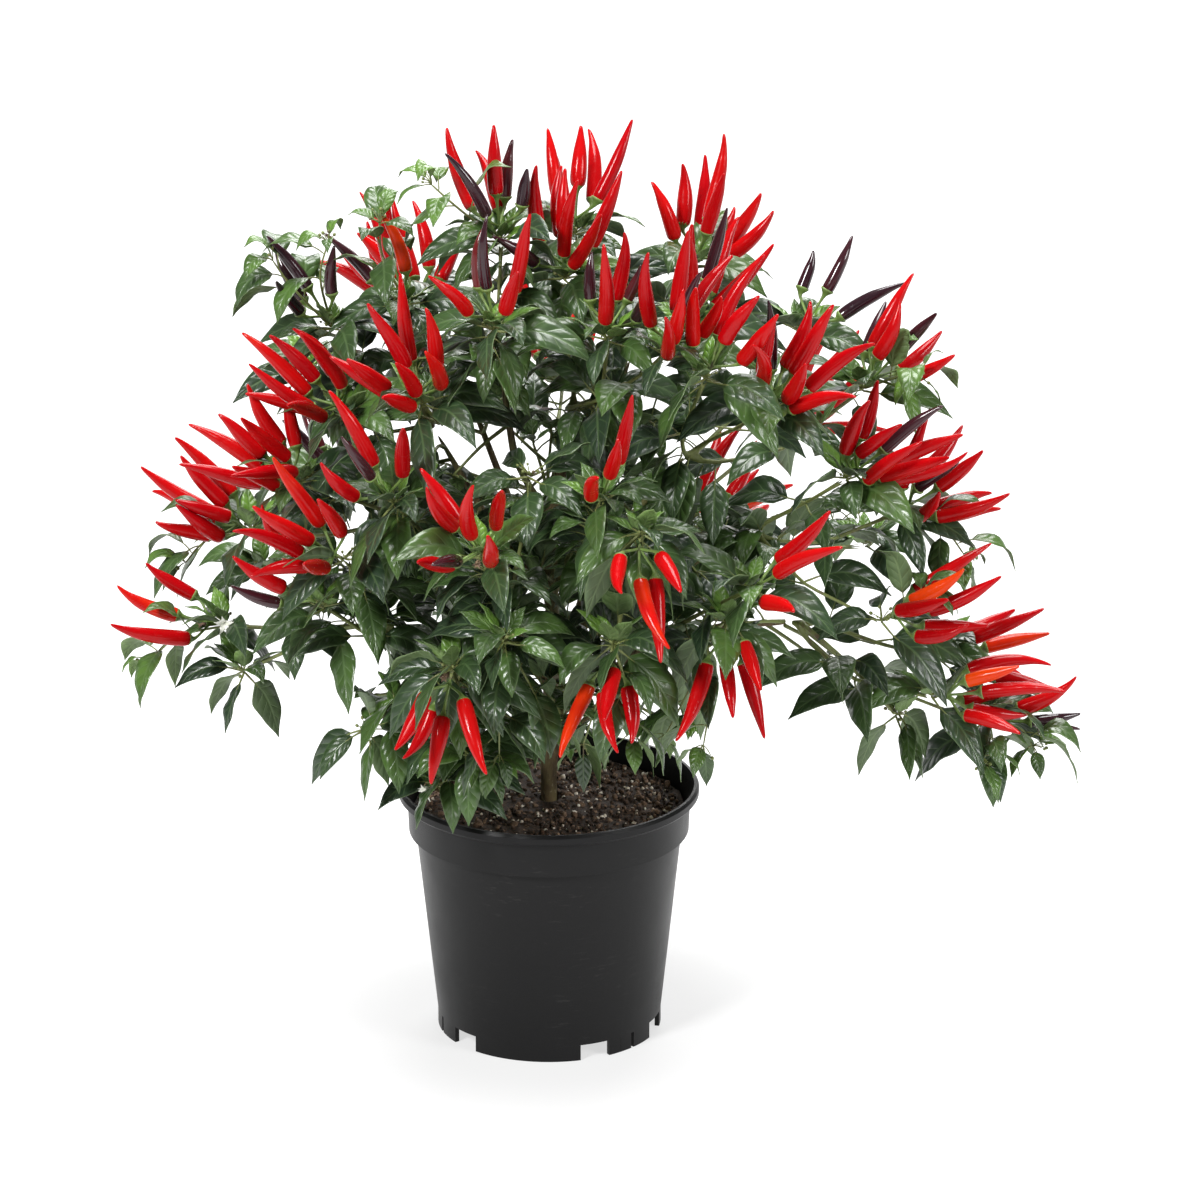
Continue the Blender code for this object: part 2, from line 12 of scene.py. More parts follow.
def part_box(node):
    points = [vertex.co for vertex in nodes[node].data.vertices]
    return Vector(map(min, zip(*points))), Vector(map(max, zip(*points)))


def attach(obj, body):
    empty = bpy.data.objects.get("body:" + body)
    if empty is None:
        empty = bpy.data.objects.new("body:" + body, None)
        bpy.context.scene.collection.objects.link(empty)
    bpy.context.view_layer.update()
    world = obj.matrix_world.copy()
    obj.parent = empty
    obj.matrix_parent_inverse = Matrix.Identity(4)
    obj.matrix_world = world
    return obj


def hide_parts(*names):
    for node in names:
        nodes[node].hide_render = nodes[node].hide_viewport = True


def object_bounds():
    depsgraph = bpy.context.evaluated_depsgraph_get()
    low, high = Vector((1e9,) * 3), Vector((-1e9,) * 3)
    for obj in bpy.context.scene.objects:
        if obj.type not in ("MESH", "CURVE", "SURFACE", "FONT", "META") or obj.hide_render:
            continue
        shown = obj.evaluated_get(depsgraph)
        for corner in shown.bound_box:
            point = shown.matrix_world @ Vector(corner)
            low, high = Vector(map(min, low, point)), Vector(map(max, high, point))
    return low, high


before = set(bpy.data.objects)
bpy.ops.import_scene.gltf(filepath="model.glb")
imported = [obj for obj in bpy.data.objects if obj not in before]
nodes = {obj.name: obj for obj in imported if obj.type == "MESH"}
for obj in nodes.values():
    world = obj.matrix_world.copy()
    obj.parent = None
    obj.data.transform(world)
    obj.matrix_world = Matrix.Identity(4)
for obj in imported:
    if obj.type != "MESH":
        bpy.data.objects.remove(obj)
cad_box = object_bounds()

UP = Vector((0, 0, 1))
GOLDEN = math.radians(137.5)

# A fruit's outline from its shoulder to its point: (share of the length, share of the radius)
POD_OUTLINE = [
    (0.0, 0.45),
    (0.015, 0.82),
    (0.05, 1.0),
    (0.16, 1.06),
    (0.34, 1.04),
    (0.52, 0.95),
    (0.66, 0.79),
    (0.78, 0.56),
    (0.89, 0.37),
    (0.97, 0.24),
]
# The calyx over the shoulder: (distance from the stalk's end, radius)
CALYX = [(-0.0040, 0.0014), (-0.0012, 0.0028), (0.0004, 0.0050), (0.0016, 0.0062), (0.0034, 0.0066)]
PETIOLE = (0.0015, 0.0010, 0.0009, 0.0006)  # a leaf stalk's radii, from the twig into the blade


# Solids grown by extruding one face through ring after ring


def ring(centre, along, side, radius, sides):
    """Points round a centre, square to a direction."""
    up = along.cross(side)
    return [
        centre + side * (radius * math.cos(t)) + up * (radius * math.sin(t))
        for t in (2 * math.pi * i / sides for i in range(sides))
    ]


def square_to(along, side):
    """`side` made perpendicular to `along`, or any such direction if they are nearly parallel."""
    flat = side - along * side.dot(along)
    return flat.normalized() if flat.length > 0.05 else along.orthogonal().normalized()


def sprout(bm, first, second):
    """Starts a closed solid with two rings and returns its far face."""
    made = bmesh.ops.create_cone(bm, cap_ends=True, segments=len(first), radius1=1, radius2=1, depth=2)
    faces = {face for vert in made["verts"] for face in vert.link_faces}
    top = max(faces, key=lambda face: face.calc_center_median().z)
    verts = [loop.vert for loop in top.loops]
    lower = [next(e.other_vert(v) for e in v.link_edges if e.other_vert(v) not in verts) for v in verts]
    for vert, under, far, near in zip(verts, lower, second, first):
        vert.co, under.co = far, near
    return top


def grow(bm, face, rings, tip=None):
    """Extrudes a face through rings of as many points, and closes it at a tip if there is one."""
    turn = None
    for points in rings:
        face = bmesh.ops.extrude_discrete_faces(bm, faces=[face])["faces"][0]
        verts = [loop.vert for loop in face.loops]
        count = len(verts)
        if turn is None:
            turn = min(
                range(count),
                key=lambda k: sum((v.co - points[(i + k) % count]).length for i, v in enumerate(verts)),
            )
        for i, vert in enumerate(verts):
            vert.co = points[(i + turn) % count]
    if tip is not None:
        bmesh.ops.poke(bm, faces=[face])["verts"][0].co = tip


def tube(bm, points, radii, sides=5, tip=False):
    """A closed tube through points, with a radius at each."""
    rings, side = [], None
    for i, point in enumerate(points):
        along = (points[min(i + 1, len(points) - 1)] - points[max(i - 1, 0)]).normalized()
        side = square_to(along, side or along.orthogonal())
        rings.append(ring(point, along, side, radii[i], sides))
    end = points[-1] + (points[-1] - points[-2]) * 0.2 if tip else None
    grow(bm, sprout(bm, rings[0], rings[1]), rings[2:], end)


def smooth_path(knots, count):
    """Evenly numbered points of a curve that passes through the knots."""
    padded = [knots[0] * 2 - knots[1]] + list(knots) + [knots[-1] * 2 - knots[-2]]
    points = []
    for i in range(count):
        t = i / (count - 1) * (len(knots) - 1)
        k = min(int(t), len(knots) - 2)
        f = t - k
        a, b, c, d = padded[k : k + 4]
        points.append(
            (b * 2 + (c - a) * f + (a * 2 - b * 5 + c * 4 - d) * f**2 + (b * 3 - a - c * 3 + d) * f**3) / 2
        )
    return points


# Reading the CAD model's shoots and clusters


def merged(node):
    """A copy of a CAD node's mesh with its loose triangles joined."""
    bm = bmesh.new()
    bm.from_mesh(node.data)
    bmesh.ops.remove_doubles(bm, verts=bm.verts, dist=1e-6)
    return bm


def middle(verts):
    return sum((v.co for v in verts), Vector()) / len(verts)


POINTED = 0.95 * math.pi  # the corners round a point add up to less than this


def pointed_ends(bm):
    """Each vertex where a leaf or fruit comes to its point, with the four rings behind it."""
    ends = []
    for vert in bm.verts:
        if sum(loop.calc_angle() for loop in vert.link_loops) < POINTED:
            seen, last, rings = {vert}, {vert}, []
            for _ in range(4):
                last = {e.other_vert(v) for v in last for e in v.link_edges} - seen
                seen |= last
                rings.append(sorted(last, key=lambda v: v.index))
            if all(len(r) == 4 for r in rings):
                ends.append((vert, rings))
    return ends


class Shoot:
    """A shoot's leaves or a cluster's fruits, read from its CAD node: each end is the line down its
    middle, from the twig to its point, and half its width."""

    def __init__(self, node):
        self.name = node.name
        bm = merged(node)
        self.ends = []
        for tip, rings in pointed_ends(bm):
            line = [middle(r) for r in reversed(rings)] + [tip.co.copy()]
            pairs = [(a.co, b.co) for a in rings[1] for b in rings[1] if a is not b]
            right, left = max(pairs, key=lambda pair: (pair[0] - pair[1]).length)
            self.ends.append((line, (right - left) / 2))
        bm.free()


shoots = [Shoot(nodes[name]) for name in sorted(nodes) if name.startswith("shoot_")]
clusters = [Shoot(nodes[name]) for name in sorted(nodes) if name.startswith("fruits_")]


# Finishes: shader node helpers


def new_group(name, inputs, outputs):
    tree = bpy.data.node_groups.new(name, "ShaderNodeTree")
    for label, kind in inputs:
        tree.interface.new_socket(label, in_out="INPUT", socket_type=kind)
    for label, kind in outputs:
        tree.interface.new_socket(label, in_out="OUTPUT", socket_type=kind)
    return tree, tree.nodes.new("NodeGroupInput"), tree.nodes.new("NodeGroupOutput")


def put(tree, socket, value):
    if isinstance(value, bpy.types.NodeSocket):
        tree.links.new(value, socket)
    else:
        socket.default_value = value


def calc(tree, operation, *values):
    node = tree.nodes.new("ShaderNodeMath")
    node.operation = operation
    for socket, value in zip(node.inputs, values):
        put(tree, socket, value)
    return node.outputs[0]


def times(tree, first, second):
    return calc(tree, "MULTIPLY", first, second)


def fade(tree, value, low, high, first=0.0, last=1.0):
    """A smooth step from `first` at `low` to `last` at `high`."""
    node = tree.nodes.new("ShaderNodeMapRange")
    node.interpolation_type = "SMOOTHSTEP"
    given = {"Value": value, "From Min": low, "From Max": high, "To Min": first, "To Max": last}
    for label, number in given.items():
        put(tree, node.inputs[label], number)
    return node.outputs["Result"]


def blend_colour(tree, share, first, second):
    node = tree.nodes.new("ShaderNodeMix")
    node.data_type = "RGBA"
    put(tree, node.inputs["Factor"], share)
    put(tree, node.inputs["A"], (*first, 1) if isinstance(first, tuple) else first)
    put(tree, node.inputs["B"], (*second, 1) if isinstance(second, tuple) else second)
    return node.outputs["Result"]


def speckle(tree, scale, detail=3.0, roughness=0.5, stretch=None):
    """Noise on Object coordinates, at a scale in grains per metre."""
    place = tree.nodes.new("ShaderNodeTexCoord").outputs["Object"]
    if stretch:
        mapping = tree.nodes.new("ShaderNodeMapping")
        mapping.inputs["Scale"].default_value = stretch
        tree.links.new(place, mapping.inputs["Vector"])
        place = mapping.outputs["Vector"]
    node = tree.nodes.new("ShaderNodeTexNoise")
    tree.links.new(place, node.inputs["Vector"])
    node.inputs["Scale"].default_value = scale
    node.inputs["Detail"].default_value = detail
    node.inputs["Roughness"].default_value = roughness
    return node.outputs["Fac"]


def attribute(tree, name):
    node = tree.nodes.new("ShaderNodeAttribute")
    node.attribute_name = name
    return node.outputs["Fac"]


def bump(tree, height, strength, distance):
    node = tree.nodes.new("ShaderNodeBump")
    node.inputs["Strength"].default_value = strength
    node.inputs["Distance"].default_value = distance
    put(tree, node.inputs["Height"], height)
    return node.outputs["Normal"]


def new_material(name):
    mat = bpy.data.materials.new(name)
    mat.use_nodes = True
    return mat, mat.node_tree, mat.node_tree.nodes["Principled BSDF"].inputs


def leaf_vein_group():
    """Midrib and side veins in a leaf's own UV map, alternating left and right, with the blade
    quilted up between them."""
    tree, given, out = new_group(
        "leaf_veins",
        [("UV", "NodeSocketVector"), ("Pairs", "NodeSocketFloat")],
        [("Vein", "NodeSocketFloat"), ("Quilt", "NodeSocketFloat"), ("Margin", "NodeSocketFloat")],
    )
    split = tree.nodes.new("ShaderNodeSeparateXYZ")
    tree.links.new(given.outputs["UV"], split.inputs[0])
    across = calc(tree, "SUBTRACT", split.outputs["X"], 0.5)
    away = times(tree, calc(tree, "ABSOLUTE", across), 2.0)
    half = times(tree, calc(tree, "GREATER_THAN", across, 0.0), 0.5)
    lean = times(tree, calc(tree, "POWER", away, 0.8), 0.2)
    rise = times(tree, calc(tree, "SUBTRACT", split.outputs["Y"], lean), given.outputs["Pairs"])
    wave = times(tree, calc(tree, "PINGPONG", calc(tree, "ADD", rise, half), 0.5), 2.0)
    outer_fade = fade(tree, away, 0.55, 1.0, 0.8, 0.1)
    side_vein = times(tree, fade(tree, wave, 0.0, 0.2, 1.0, 0.0), outer_fade)
    midrib = fade(tree, away, 0.03, 0.13, 1.0, 0.0)
    tree.links.new(calc(tree, "MAXIMUM", side_vein, midrib), out.inputs["Vein"])
    pillow = times(tree, fade(tree, wave, 0.0, 0.9), fade(tree, away, 0.0, 0.3))
    tree.links.new(pillow, out.inputs["Quilt"])
    tree.links.new(fade(tree, away, 0.86, 1.0), out.inputs["Margin"])
    return tree


LEAF_VEINS = leaf_vein_group()


def leaf_finish(name, old, young, vein, roughness):
    """Satin leaf skin between an old and a young leaf's green, with paler veins and margin."""
    mat, tree, shader = new_material(name)
    veins = tree.nodes.new("ShaderNodeGroup")
    veins.node_tree = LEAF_VEINS
    veins.inputs["Pairs"].default_value = 6.0
    uv = tree.nodes.new("ShaderNodeUVMap")
    uv.uv_map = "UVMap"
    tree.links.new(uv.outputs["UV"], veins.inputs["UV"])
    tone = attribute(tree, "tone")
    blotch = speckle(tree, 60.0, 4.0)
    colour = blend_colour(tree, tone, old, young)
    darker = blend_colour(tree, fade(tree, blotch, 0.35, 0.7), colour, tuple(c * 0.62 for c in old))
    darker = blend_colour(tree, 0.45, colour, darker)
    colour = blend_colour(tree, times(tree, veins.outputs["Vein"], 0.32), darker, vein)
    colour = blend_colour(tree, times(tree, veins.outputs["Margin"], 0.3), colour, vein)
    tree.links.new(colour, shader["Base Color"])
    tree.links.new(calc(tree, "ADD", times(tree, blotch, 0.16), roughness), shader["Roughness"])
    sunk = times(tree, veins.outputs["Vein"], 0.6)
    pores = times(tree, speckle(tree, 900.0, 2.0), 0.12)
    height = calc(tree, "ADD", calc(tree, "SUBTRACT", veins.outputs["Quilt"], sunk), pores)
    tree.links.new(bump(tree, height, 0.5, 0.00065), shader["Normal"])
    shader["Specular IOR Level"].default_value = 0.5
    return mat


def fruit_finish():
    """Waxy skin from glossy purple-black through orange to red by how ripe each fruit is."""
    mat, tree, shader = new_material("fruit_skin")
    mottle = calc(tree, "SUBTRACT", speckle(tree, 45.0), 0.5)
    ripe = calc(tree, "ADD", attribute(tree, "tone"), times(tree, mottle, 0.16))
    ramp = tree.nodes.new("ShaderNodeValToRGB")
    stops = [
        (0.0, (0.012, 0.005, 0.009)),
        (0.28, (0.040, 0.008, 0.012)),
        (0.42, (0.14, 0.009, 0.008)),
        (0.58, (0.62, 0.050, 0.003)),
        (0.74, (0.44, 0.003, 0.003)),
        (1.0, (0.33, 0.0008, 0.003)),
    ]
    while len(ramp.color_ramp.elements) < len(stops):
        ramp.color_ramp.elements.new(0.5)
    for element, (place, colour) in zip(ramp.color_ramp.elements, stops):
        element.position, element.color = place, (*colour, 1)
    tree.links.new(ripe, ramp.inputs["Fac"])
    tree.links.new(ramp.outputs["Color"], shader["Base Color"])
    tree.links.new(fade(tree, speckle(tree, 220.0, 2.0), 0.3, 0.8, 0.16, 0.3), shader["Roughness"])
    waves = times(tree, speckle(tree, 55.0, 1.0), 2.5)
    lumps = calc(tree, "ADD", speckle(tree, 130.0, 2.0), waves)
    tree.links.new(bump(tree, lumps, 0.35, 0.0012), shader["Normal"])
    shader["Specular IOR Level"].default_value = 0.12
    tree.links.new(fade(tree, ripe, 0.3, 0.6, 0.75, 0.16), shader["Coat Weight"])
    shader["Coat Roughness"].default_value = 0.05
    return mat


def stalk_finish(name, base, dark):
    """Skin of green twigs, stalks and calyces: lengthwise streaks and darker joints."""
    mat, tree, shader = new_material(name)
    streaks = speckle(tree, 260.0, 4.0, 0.6, (1, 1, 0.25))
    patches = speckle(tree, 28.0, 3.0)
    share = times(tree, fade(tree, streaks, 0.42, 0.75), fade(tree, patches, 0.35, 0.65))
    tree.links.new(blend_colour(tree, share, base, dark), shader["Base Color"])
    tree.links.new(fade(tree, streaks, 0.2, 0.8, 0.42, 0.62), shader["Roughness"])
    tree.links.new(bump(tree, streaks, 0.4, 0.0006), shader["Normal"])
    return mat


def bark_finish():
    """Young bark: olive and brown, ridged along the limb, with paler pores and dark joints."""
    mat, tree, shader = new_material("bark")
    olive, brown = (0.17, 0.16, 0.055), (0.14, 0.085, 0.042)
    crevice, pale = (0.055, 0.038, 0.022), (0.35, 0.30, 0.19)
    ridges = speckle(tree, 330.0, 5.0, 0.65, (1, 1, 0.18))
    patches = speckle(tree, 22.0, 3.0)
    pores = fade(tree, speckle(tree, 520.0, 1.0, 0.4, (1, 1, 0.6)), 0.66, 0.74)
    skin = blend_colour(tree, fade(tree, patches, 0.35, 0.65), olive, brown)
    ridged = blend_colour(tree, fade(tree, ridges, 0.4, 0.75), skin, crevice)
    colour = blend_colour(tree, times(tree, pores, 0.6), ridged, pale)
    tree.links.new(colour, shader["Base Color"])
    tree.links.new(fade(tree, ridges, 0.2, 0.8, 0.55, 0.85), shader["Roughness"])
    tree.links.new(bump(tree, ridges, 0.7, 0.0012), shader["Normal"])
    return mat


def pot_finish():
    """Black moulded plastic: a fine grain and soft scuffs that run round the pot."""
    mat, tree, shader = new_material("pot_plastic")
    grain = speckle(tree, 1500.0, 2.0)
    cloud = speckle(tree, 14.0, 4.0, 0.6)
    rub = speckle(tree, 60.0, 5.0, 0.7, (1, 1, 5))
    scuffs = times(tree, fade(tree, rub, 0.56, 0.72), fade(tree, cloud, 0.45, 0.7))
    worn = times(tree, scuffs, 0.35)
    clean = blend_colour(tree, cloud, (0.0045, 0.0045, 0.0047), (0.008, 0.008, 0.0083))
    tree.links.new(blend_colour(tree, worn, clean, (0.05, 0.048, 0.046)), shader["Base Color"])
    satin = fade(tree, cloud, 0.3, 0.7, 0.36, 0.46)
    tree.links.new(calc(tree, "ADD", satin, times(tree, worn, 0.5)), shader["Roughness"])
    height = calc(tree, "ADD", grain, times(tree, rub, 0.7))
    tree.links.new(bump(tree, height, 0.22, 0.0004), shader["Normal"])
    shader["Specular IOR Level"].default_value = 0.18
    return mat


def soil_finish(name, dark, light, grain):
    """Crumbly matter with light specks and darker, damp patches."""
    mat, tree, shader = new_material(name)
    crumbs = speckle(tree, grain, 6.0, 0.7)
    damp = speckle(tree, 30.0, 3.0)
    colour = blend_colour(tree, fade(tree, crumbs, 0.4, 0.72), dark, light)
    wet = fade(tree, damp, 0.4, 0.65, 0.0, 0.5)
    tree.links.new(blend_colour(tree, wet, colour, dark), shader["Base Color"])
    tree.links.new(fade(tree, crumbs, 0.2, 0.8, 0.75, 0.98), shader["Roughness"])
    tree.links.new(bump(tree, crumbs, 0.9, 0.002), shader["Normal"])
    return mat


def plain_finish(name, first, second, scale, roughness, strength=0.3):
    """A dry skin mottled in two colours."""
    mat, tree, shader = new_material(name)
    mottle = speckle(tree, scale, 3.0)
    tree.links.new(blend_colour(tree, fade(tree, mottle, 0.35, 0.7), first, second), shader["Base Color"])
    tree.links.new(fade(tree, mottle, 0.2, 0.8, roughness, roughness + 0.12), shader["Roughness"])
    tree.links.new(bump(tree, mottle, strength, 0.0006), shader["Normal"])
    return mat


FINISH = {
    "leaf_top": leaf_finish(
        "leaf_top", (0.019, 0.038, 0.018), (0.13, 0.26, 0.032), (0.13, 0.21, 0.08), roughness=0.23
    ),
    "leaf_under": leaf_finish(
        "leaf_under", (0.065, 0.105, 0.042), (0.15, 0.25, 0.06), (0.20, 0.28, 0.12), roughness=0.5
    ),
    "fruit": fruit_finish(),
    "stalk": stalk_finish("stalk_green", (0.13, 0.21, 0.045), (0.06, 0.055, 0.03)),
    "twig": stalk_finish("twig_green", (0.15, 0.18, 0.05), (0.09, 0.06, 0.035)),
    "bark": bark_finish(),
    "pot": pot_finish(),
    "soil": soil_finish("potting_soil", (0.016, 0.0085, 0.0048), (0.15, 0.084, 0.046), 420.0),
    "chips": soil_finish("bark_chips", (0.12, 0.070, 0.040), (0.36, 0.24, 0.155), 300.0),
    "perlite": plain_finish("perlite", (0.80, 0.74, 0.64), (0.52, 0.42, 0.31), 350.0, 0.8, 0.6),
    "petal": plain_finish("petal", (0.80, 0.80, 0.74), (0.68, 0.70, 0.60), 200.0, 0.5),
    "withered": plain_finish("withered_petal", (0.30, 0.20, 0.12), (0.12, 0.07, 0.06), 300.0, 0.7),
}


def as_object(name, bm):
    mesh = bpy.data.meshes.new(name)
    bm.to_mesh(mesh)
    bm.free()
    obj = bpy.data.objects.new(name, mesh)
    bpy.context.scene.collection.objects.link(obj)
    return obj


def add_piece(name, bm, finishes, replaced=(), levels=0, auto_sharp=None):
    """Puts a bmesh in the scene as a piece of the object that rides on its one body."""
    piece = as_object(name, bm)
    piece.data.shade_smooth()
    if auto_sharp:
        piece.data.set_sharp_from_angle(angle=math.radians(auto_sharp))
    for finish in finishes:
        piece.data.materials.append(FINISH[finish])
    if levels:
        smooth = piece.modifiers.new("smooth", "SUBSURF")
        smooth.levels = smooth.render_levels = levels
    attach(piece, "root")
    if replaced:
        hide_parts(*replaced)
    return piece


# The pot

SPIN_STEP = 1.8  # degrees between the pot's upright edges
SHARP = 32  # degrees between faces, past which an edge of the pot is rounded


def turn_of(point):
    """The angle of a point round the pot's axis, in degrees."""
    return math.degrees(math.atan2(point.y, point.x))


def pot_outline(bm):
    """Where the CAD pot's foot stands, as arcs (from, to, whether it stands) in degrees, and the pot's
    outline where it doesn't, from the pad's rim round to the floor's, as (radius, height)."""
    pad_end = 0.07  # the foot stands farther out than this, and the pad nearer in
    slit, step = 4, 12  # degrees: slits are narrower, steps where it stands lie between, gaps are wider
    foot = sorted({round(turn_of(v.co), 1) for v in bm.verts if v.co.z < 1e-5 and v.co.xy.length > pad_end})
    arcs = [(a, b, slit < b - a < step) for a, b in zip(foot, foot[1:] + [foot[0] + 360])]
    gap = next((a + b) / 2 for a, b, _ in arcs if b - a > step)
    line = [v for v in bm.verts if abs(turn_of(v.co) - gap) < 0.1]
    walk = [min(line, key=lambda v: (round(v.co.z, 5), v.co.xy.length))]
    while True:
        following = [e.other_vert(walk[-1]) for e in walk[-1].link_edges]
        following = [v for v in following if v in line and v not in walk]
        if not following:
            break
        walk.append(min(following, key=lambda v: (v.co - walk[-1].co).length))
    return arcs, [(v.co.xy.length, v.co.z) for v in walk]


def pot_body():
    """The CAD pot's outline spun in fine steps round the axis, with its feet drawn down."""
    bm = merged(nodes["pot"])
    arcs, outline = pot_outline(bm)
    bm.free()
    outline = [(0, 0)] + outline + [(0, outline[-1][1])]
    foot_height = outline[3][1]
    foot_inner, foot_outer = outline[3][0], outline[4][0]
    bm = bmesh.new()
    start = math.radians(arcs[0][0])
    verts = [bm.verts.new((r * math.cos(start), r * math.sin(start), z)) for r, z in outline]
    last = verts + [bm.edges.new(pair) for pair in zip(verts, verts[1:])]
    for first, end, _ in arcs:
        steps = max(1, round((end - first) / SPIN_STEP))
        spun = bmesh.ops.spin(bm, geom=last, axis=UP, angle=math.radians(end - first), steps=steps)
        last = spun["geom_last"]
    bmesh.ops.remove_doubles(bm, verts=bm.verts, dist=1e-5)
    bmesh.ops.recalc_face_normals(bm, faces=bm.faces)
    standing = []
    for face in bm.faces:
        middle_point = face.calc_center_median()
        turn = (turn_of(middle_point) - arcs[0][0]) % 360 + arcs[0][0]
        level = abs(middle_point.z - foot_height) < 0.0003
        under = level and foot_inner < middle_point.xy.length < foot_outer
        if under and any(a < turn < b and stands for a, b, stands in arcs):
            standing.append(face)
    grown = bmesh.ops.extrude_face_region(bm, geom=standing)["geom"]
    bmesh.ops.delete(bm, geom=[face for face in standing if face.is_valid], context="FACES_ONLY")
    for vert in (item for item in grown if isinstance(item, bmesh.types.BMVert)):
        vert.co.z = 0
    piece = add_piece("pot_body", bm, ["pot"], ["pot"], auto_sharp=SHARP)
    edges = piece.modifiers.new("rounded_edges", "BEVEL")
    edges.width = 0.0005
    edges.segments = 2
    edges.limit_method = "ANGLE"
    edges.angle_limit = math.radians(SHARP)


# The soil


def soil_height(x, y, top):
    """The height of the lumpy soil over the smooth one's."""
    lump = noise.noise(Vector((x * 45, y * 45, 3))) * 0.0022
    crumb = noise.noise(Vector((x * 160, y * 160, 7))) * 0.0011
    return top + (lump + crumb)


def soil_ball():
    """The CAD root ball with a finer, lumpy top outside the root collar's pit."""
    bm = merged(nodes["potting_soil"])
    _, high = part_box("potting_soil")
    mound, past_pit, lumpy_from = 0.007, 0.010, 0.012  # how far down the top reaches, and two radii

    def on_top(vert, inner):
        return vert.co.z > high.z - mound and math.hypot(vert.co.x, vert.co.y) > inner

    top_edges = [e for e in bm.edges if all(on_top(v, past_pit) for v in e.verts)]
    bmesh.ops.subdivide_edges(bm, edges=top_edges, cuts=5, use_grid_fill=True)
    for vert in bm.verts:
        if on_top(vert, lumpy_from):
            vert.co.z = soil_height(vert.co.x, vert.co.y, vert.co.z) - 0.0006
    add_piece("soil_ball", bm, ["soil"], ["potting_soil"])


def scattered(name, finish, count, sizes, seed, flat=0.75):
    """Lumps strewn over the soil: bits of the mix that stand out of its surface."""
    rng = random.Random(seed)
    _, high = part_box("potting_soil")
    reach = high.x - 0.005
    bm = bmesh.new()
    for _ in range(count):
        r = reach * math.sqrt(rng.uniform(0.012, 1))
        a = rng.uniform(0, 2 * math.pi)
        size = rng.uniform(*sizes) * rng.uniform(0.7, 1.1)
        x, y = r * math.cos(a), r * math.sin(a)
        dome = 0.003 * max(0, 1 - r / reach)
        z = soil_height(x, y, high.z - 0.0042 + dome) + size * 0.3
        turn = Quaternion((rng.gauss(0, 1), rng.gauss(0, 1), rng.gauss(0, 1), rng.gauss(0, 1))).normalized()
        shape = Matrix.Diagonal((rng.uniform(0.7, 1.3), rng.uniform(0.6, 1.0), flat, 1))
        matrix = Matrix.Translation((x, y, z)) @ turn.to_matrix().to_4x4() @ shape
        made = bmesh.ops.create_icosphere(bm, subdivisions=1, radius=size, matrix=matrix)
        for vert in made["verts"]:
            vert.co += (vert.co - Vector((x, y, z))) * rng.uniform(-0.25, 0.25)
    add_piece(name, bm, [finish])


# The stem and the twigs


def filled_out(bm, share):
    """Moves each vertex out along its normal, to make up for what smoothing takes from a thin limb."""
    bm.normal_update()
    for vert, normal in [(v, v.normal.copy()) for v in bm.verts]:
        vert.co += normal * share


def in_quads(bm):
    """Joins the CAD model's triangles in pairs, for the smoothing to run along the limbs."""
    flat, square = math.radians(60), math.radians(179)
    faces = bm.faces
    bmesh.ops.join_triangles(bm, faces=faces, angle_face_threshold=flat, angle_shape_threshold=square)


def stem_bark():
    bm = merged(nodes["stem"])
    in_quads(bm)
    filled_out(bm, 0.0007)
    add_piece("stem_bark", bm, ["bark"], ["stem"], levels=2)


# Leaves


def blade(bm, line, side, width, tone, rng, crease=0.28):
    """A leaf's blade: a grid laid along a curved midrib, widest below its middle, with a drawn-out
    tip, raised halves and a wavy margin."""
    steps, fullest = 40, 0.281  # steps along the midrib, and the most that the width's curve comes to
    path = smooth_path(line, steps + 1)
    made = bmesh.ops.create_grid(bm, x_segments=4, y_segments=12, size=1, calc_uvs=True)
    phase, waves = rng.uniform(0, 6.28), rng.uniform(9, 13)
    ripple = rng.uniform(0.06, 0.16)
    twist = rng.uniform(-0.35, 0.35)
    tones = bm.verts.layers.float["tone"]
    for vert in made["verts"]:
        across, s = -vert.co.x, (vert.co.y + 1) / 2
        s = s**0.9
        at = s * steps
        k = min(int(at), steps - 1)
        centre = path[k].lerp(path[k + 1], at - k)
        along = (path[min(k + 2, steps)] - path[max(k - 1, 0)]).normalized()
        out = square_to(along, Quaternion(along, twist * s) @ side)
        up = along.cross(out)
        spread = max(width * s**0.7 * (1 - s) ** 1.25 / fullest, 0.0005 * (1 - 0.6 * s))
        lift = crease * abs(across) * spread - 0.55 * crease * across**2 * spread
        pace = waves * s * (1 if across > 0 else 1.12)
        wavy = ripple * spread * across**2 * math.sin(pace + phase + across)
        vert.co = centre + out * (across * spread) + up * (lift + wavy)
        vert[tones] = tone


def new_leafy():
    bm = bmesh.new()
    bm.loops.layers.uv.new("UVMap")
    bm.verts.layers.float.new("tone")
    return bm


def blades_piece(name, bm, replaced=(), finishes=("leaf_top", "leaf_under")):
    """A piece of thin blades, with one finish on top and another underneath."""
    piece = add_piece(name, bm, finishes, replaced)
    thick = piece.modifiers.new("thickness", "SOLIDIFY")
    thick.thickness = 0.0004
    thick.offset = -1
    thick.material_offset = 1
    thick.material_offset_rim = 1


class Room:
    """Points already taken, in cells, to find how far the next thing would be from them."""

    def __init__(self, reach):
        self.reach = reach
        self.cells = {}

    def cell(self, point):
        return tuple(math.floor(c / self.reach) for c in point)

    def add(self, points):
        for point in points:
            self.cells.setdefault(self.cell(point), []).append(point)

    def free(self, point):
        """The distance to the nearest taken point, or the reach if none is that near."""
        x, y, z = self.cell(point)
        nearest = self.reach
        for i in (x - 1, x, x + 1):
            for j in (y - 1, y, y + 1):
                for k in (z - 1, z, z + 1):
                    for other in self.cells.get((i, j, k), ()):
                        nearest = min(nearest, (other - point).length)
        return nearest


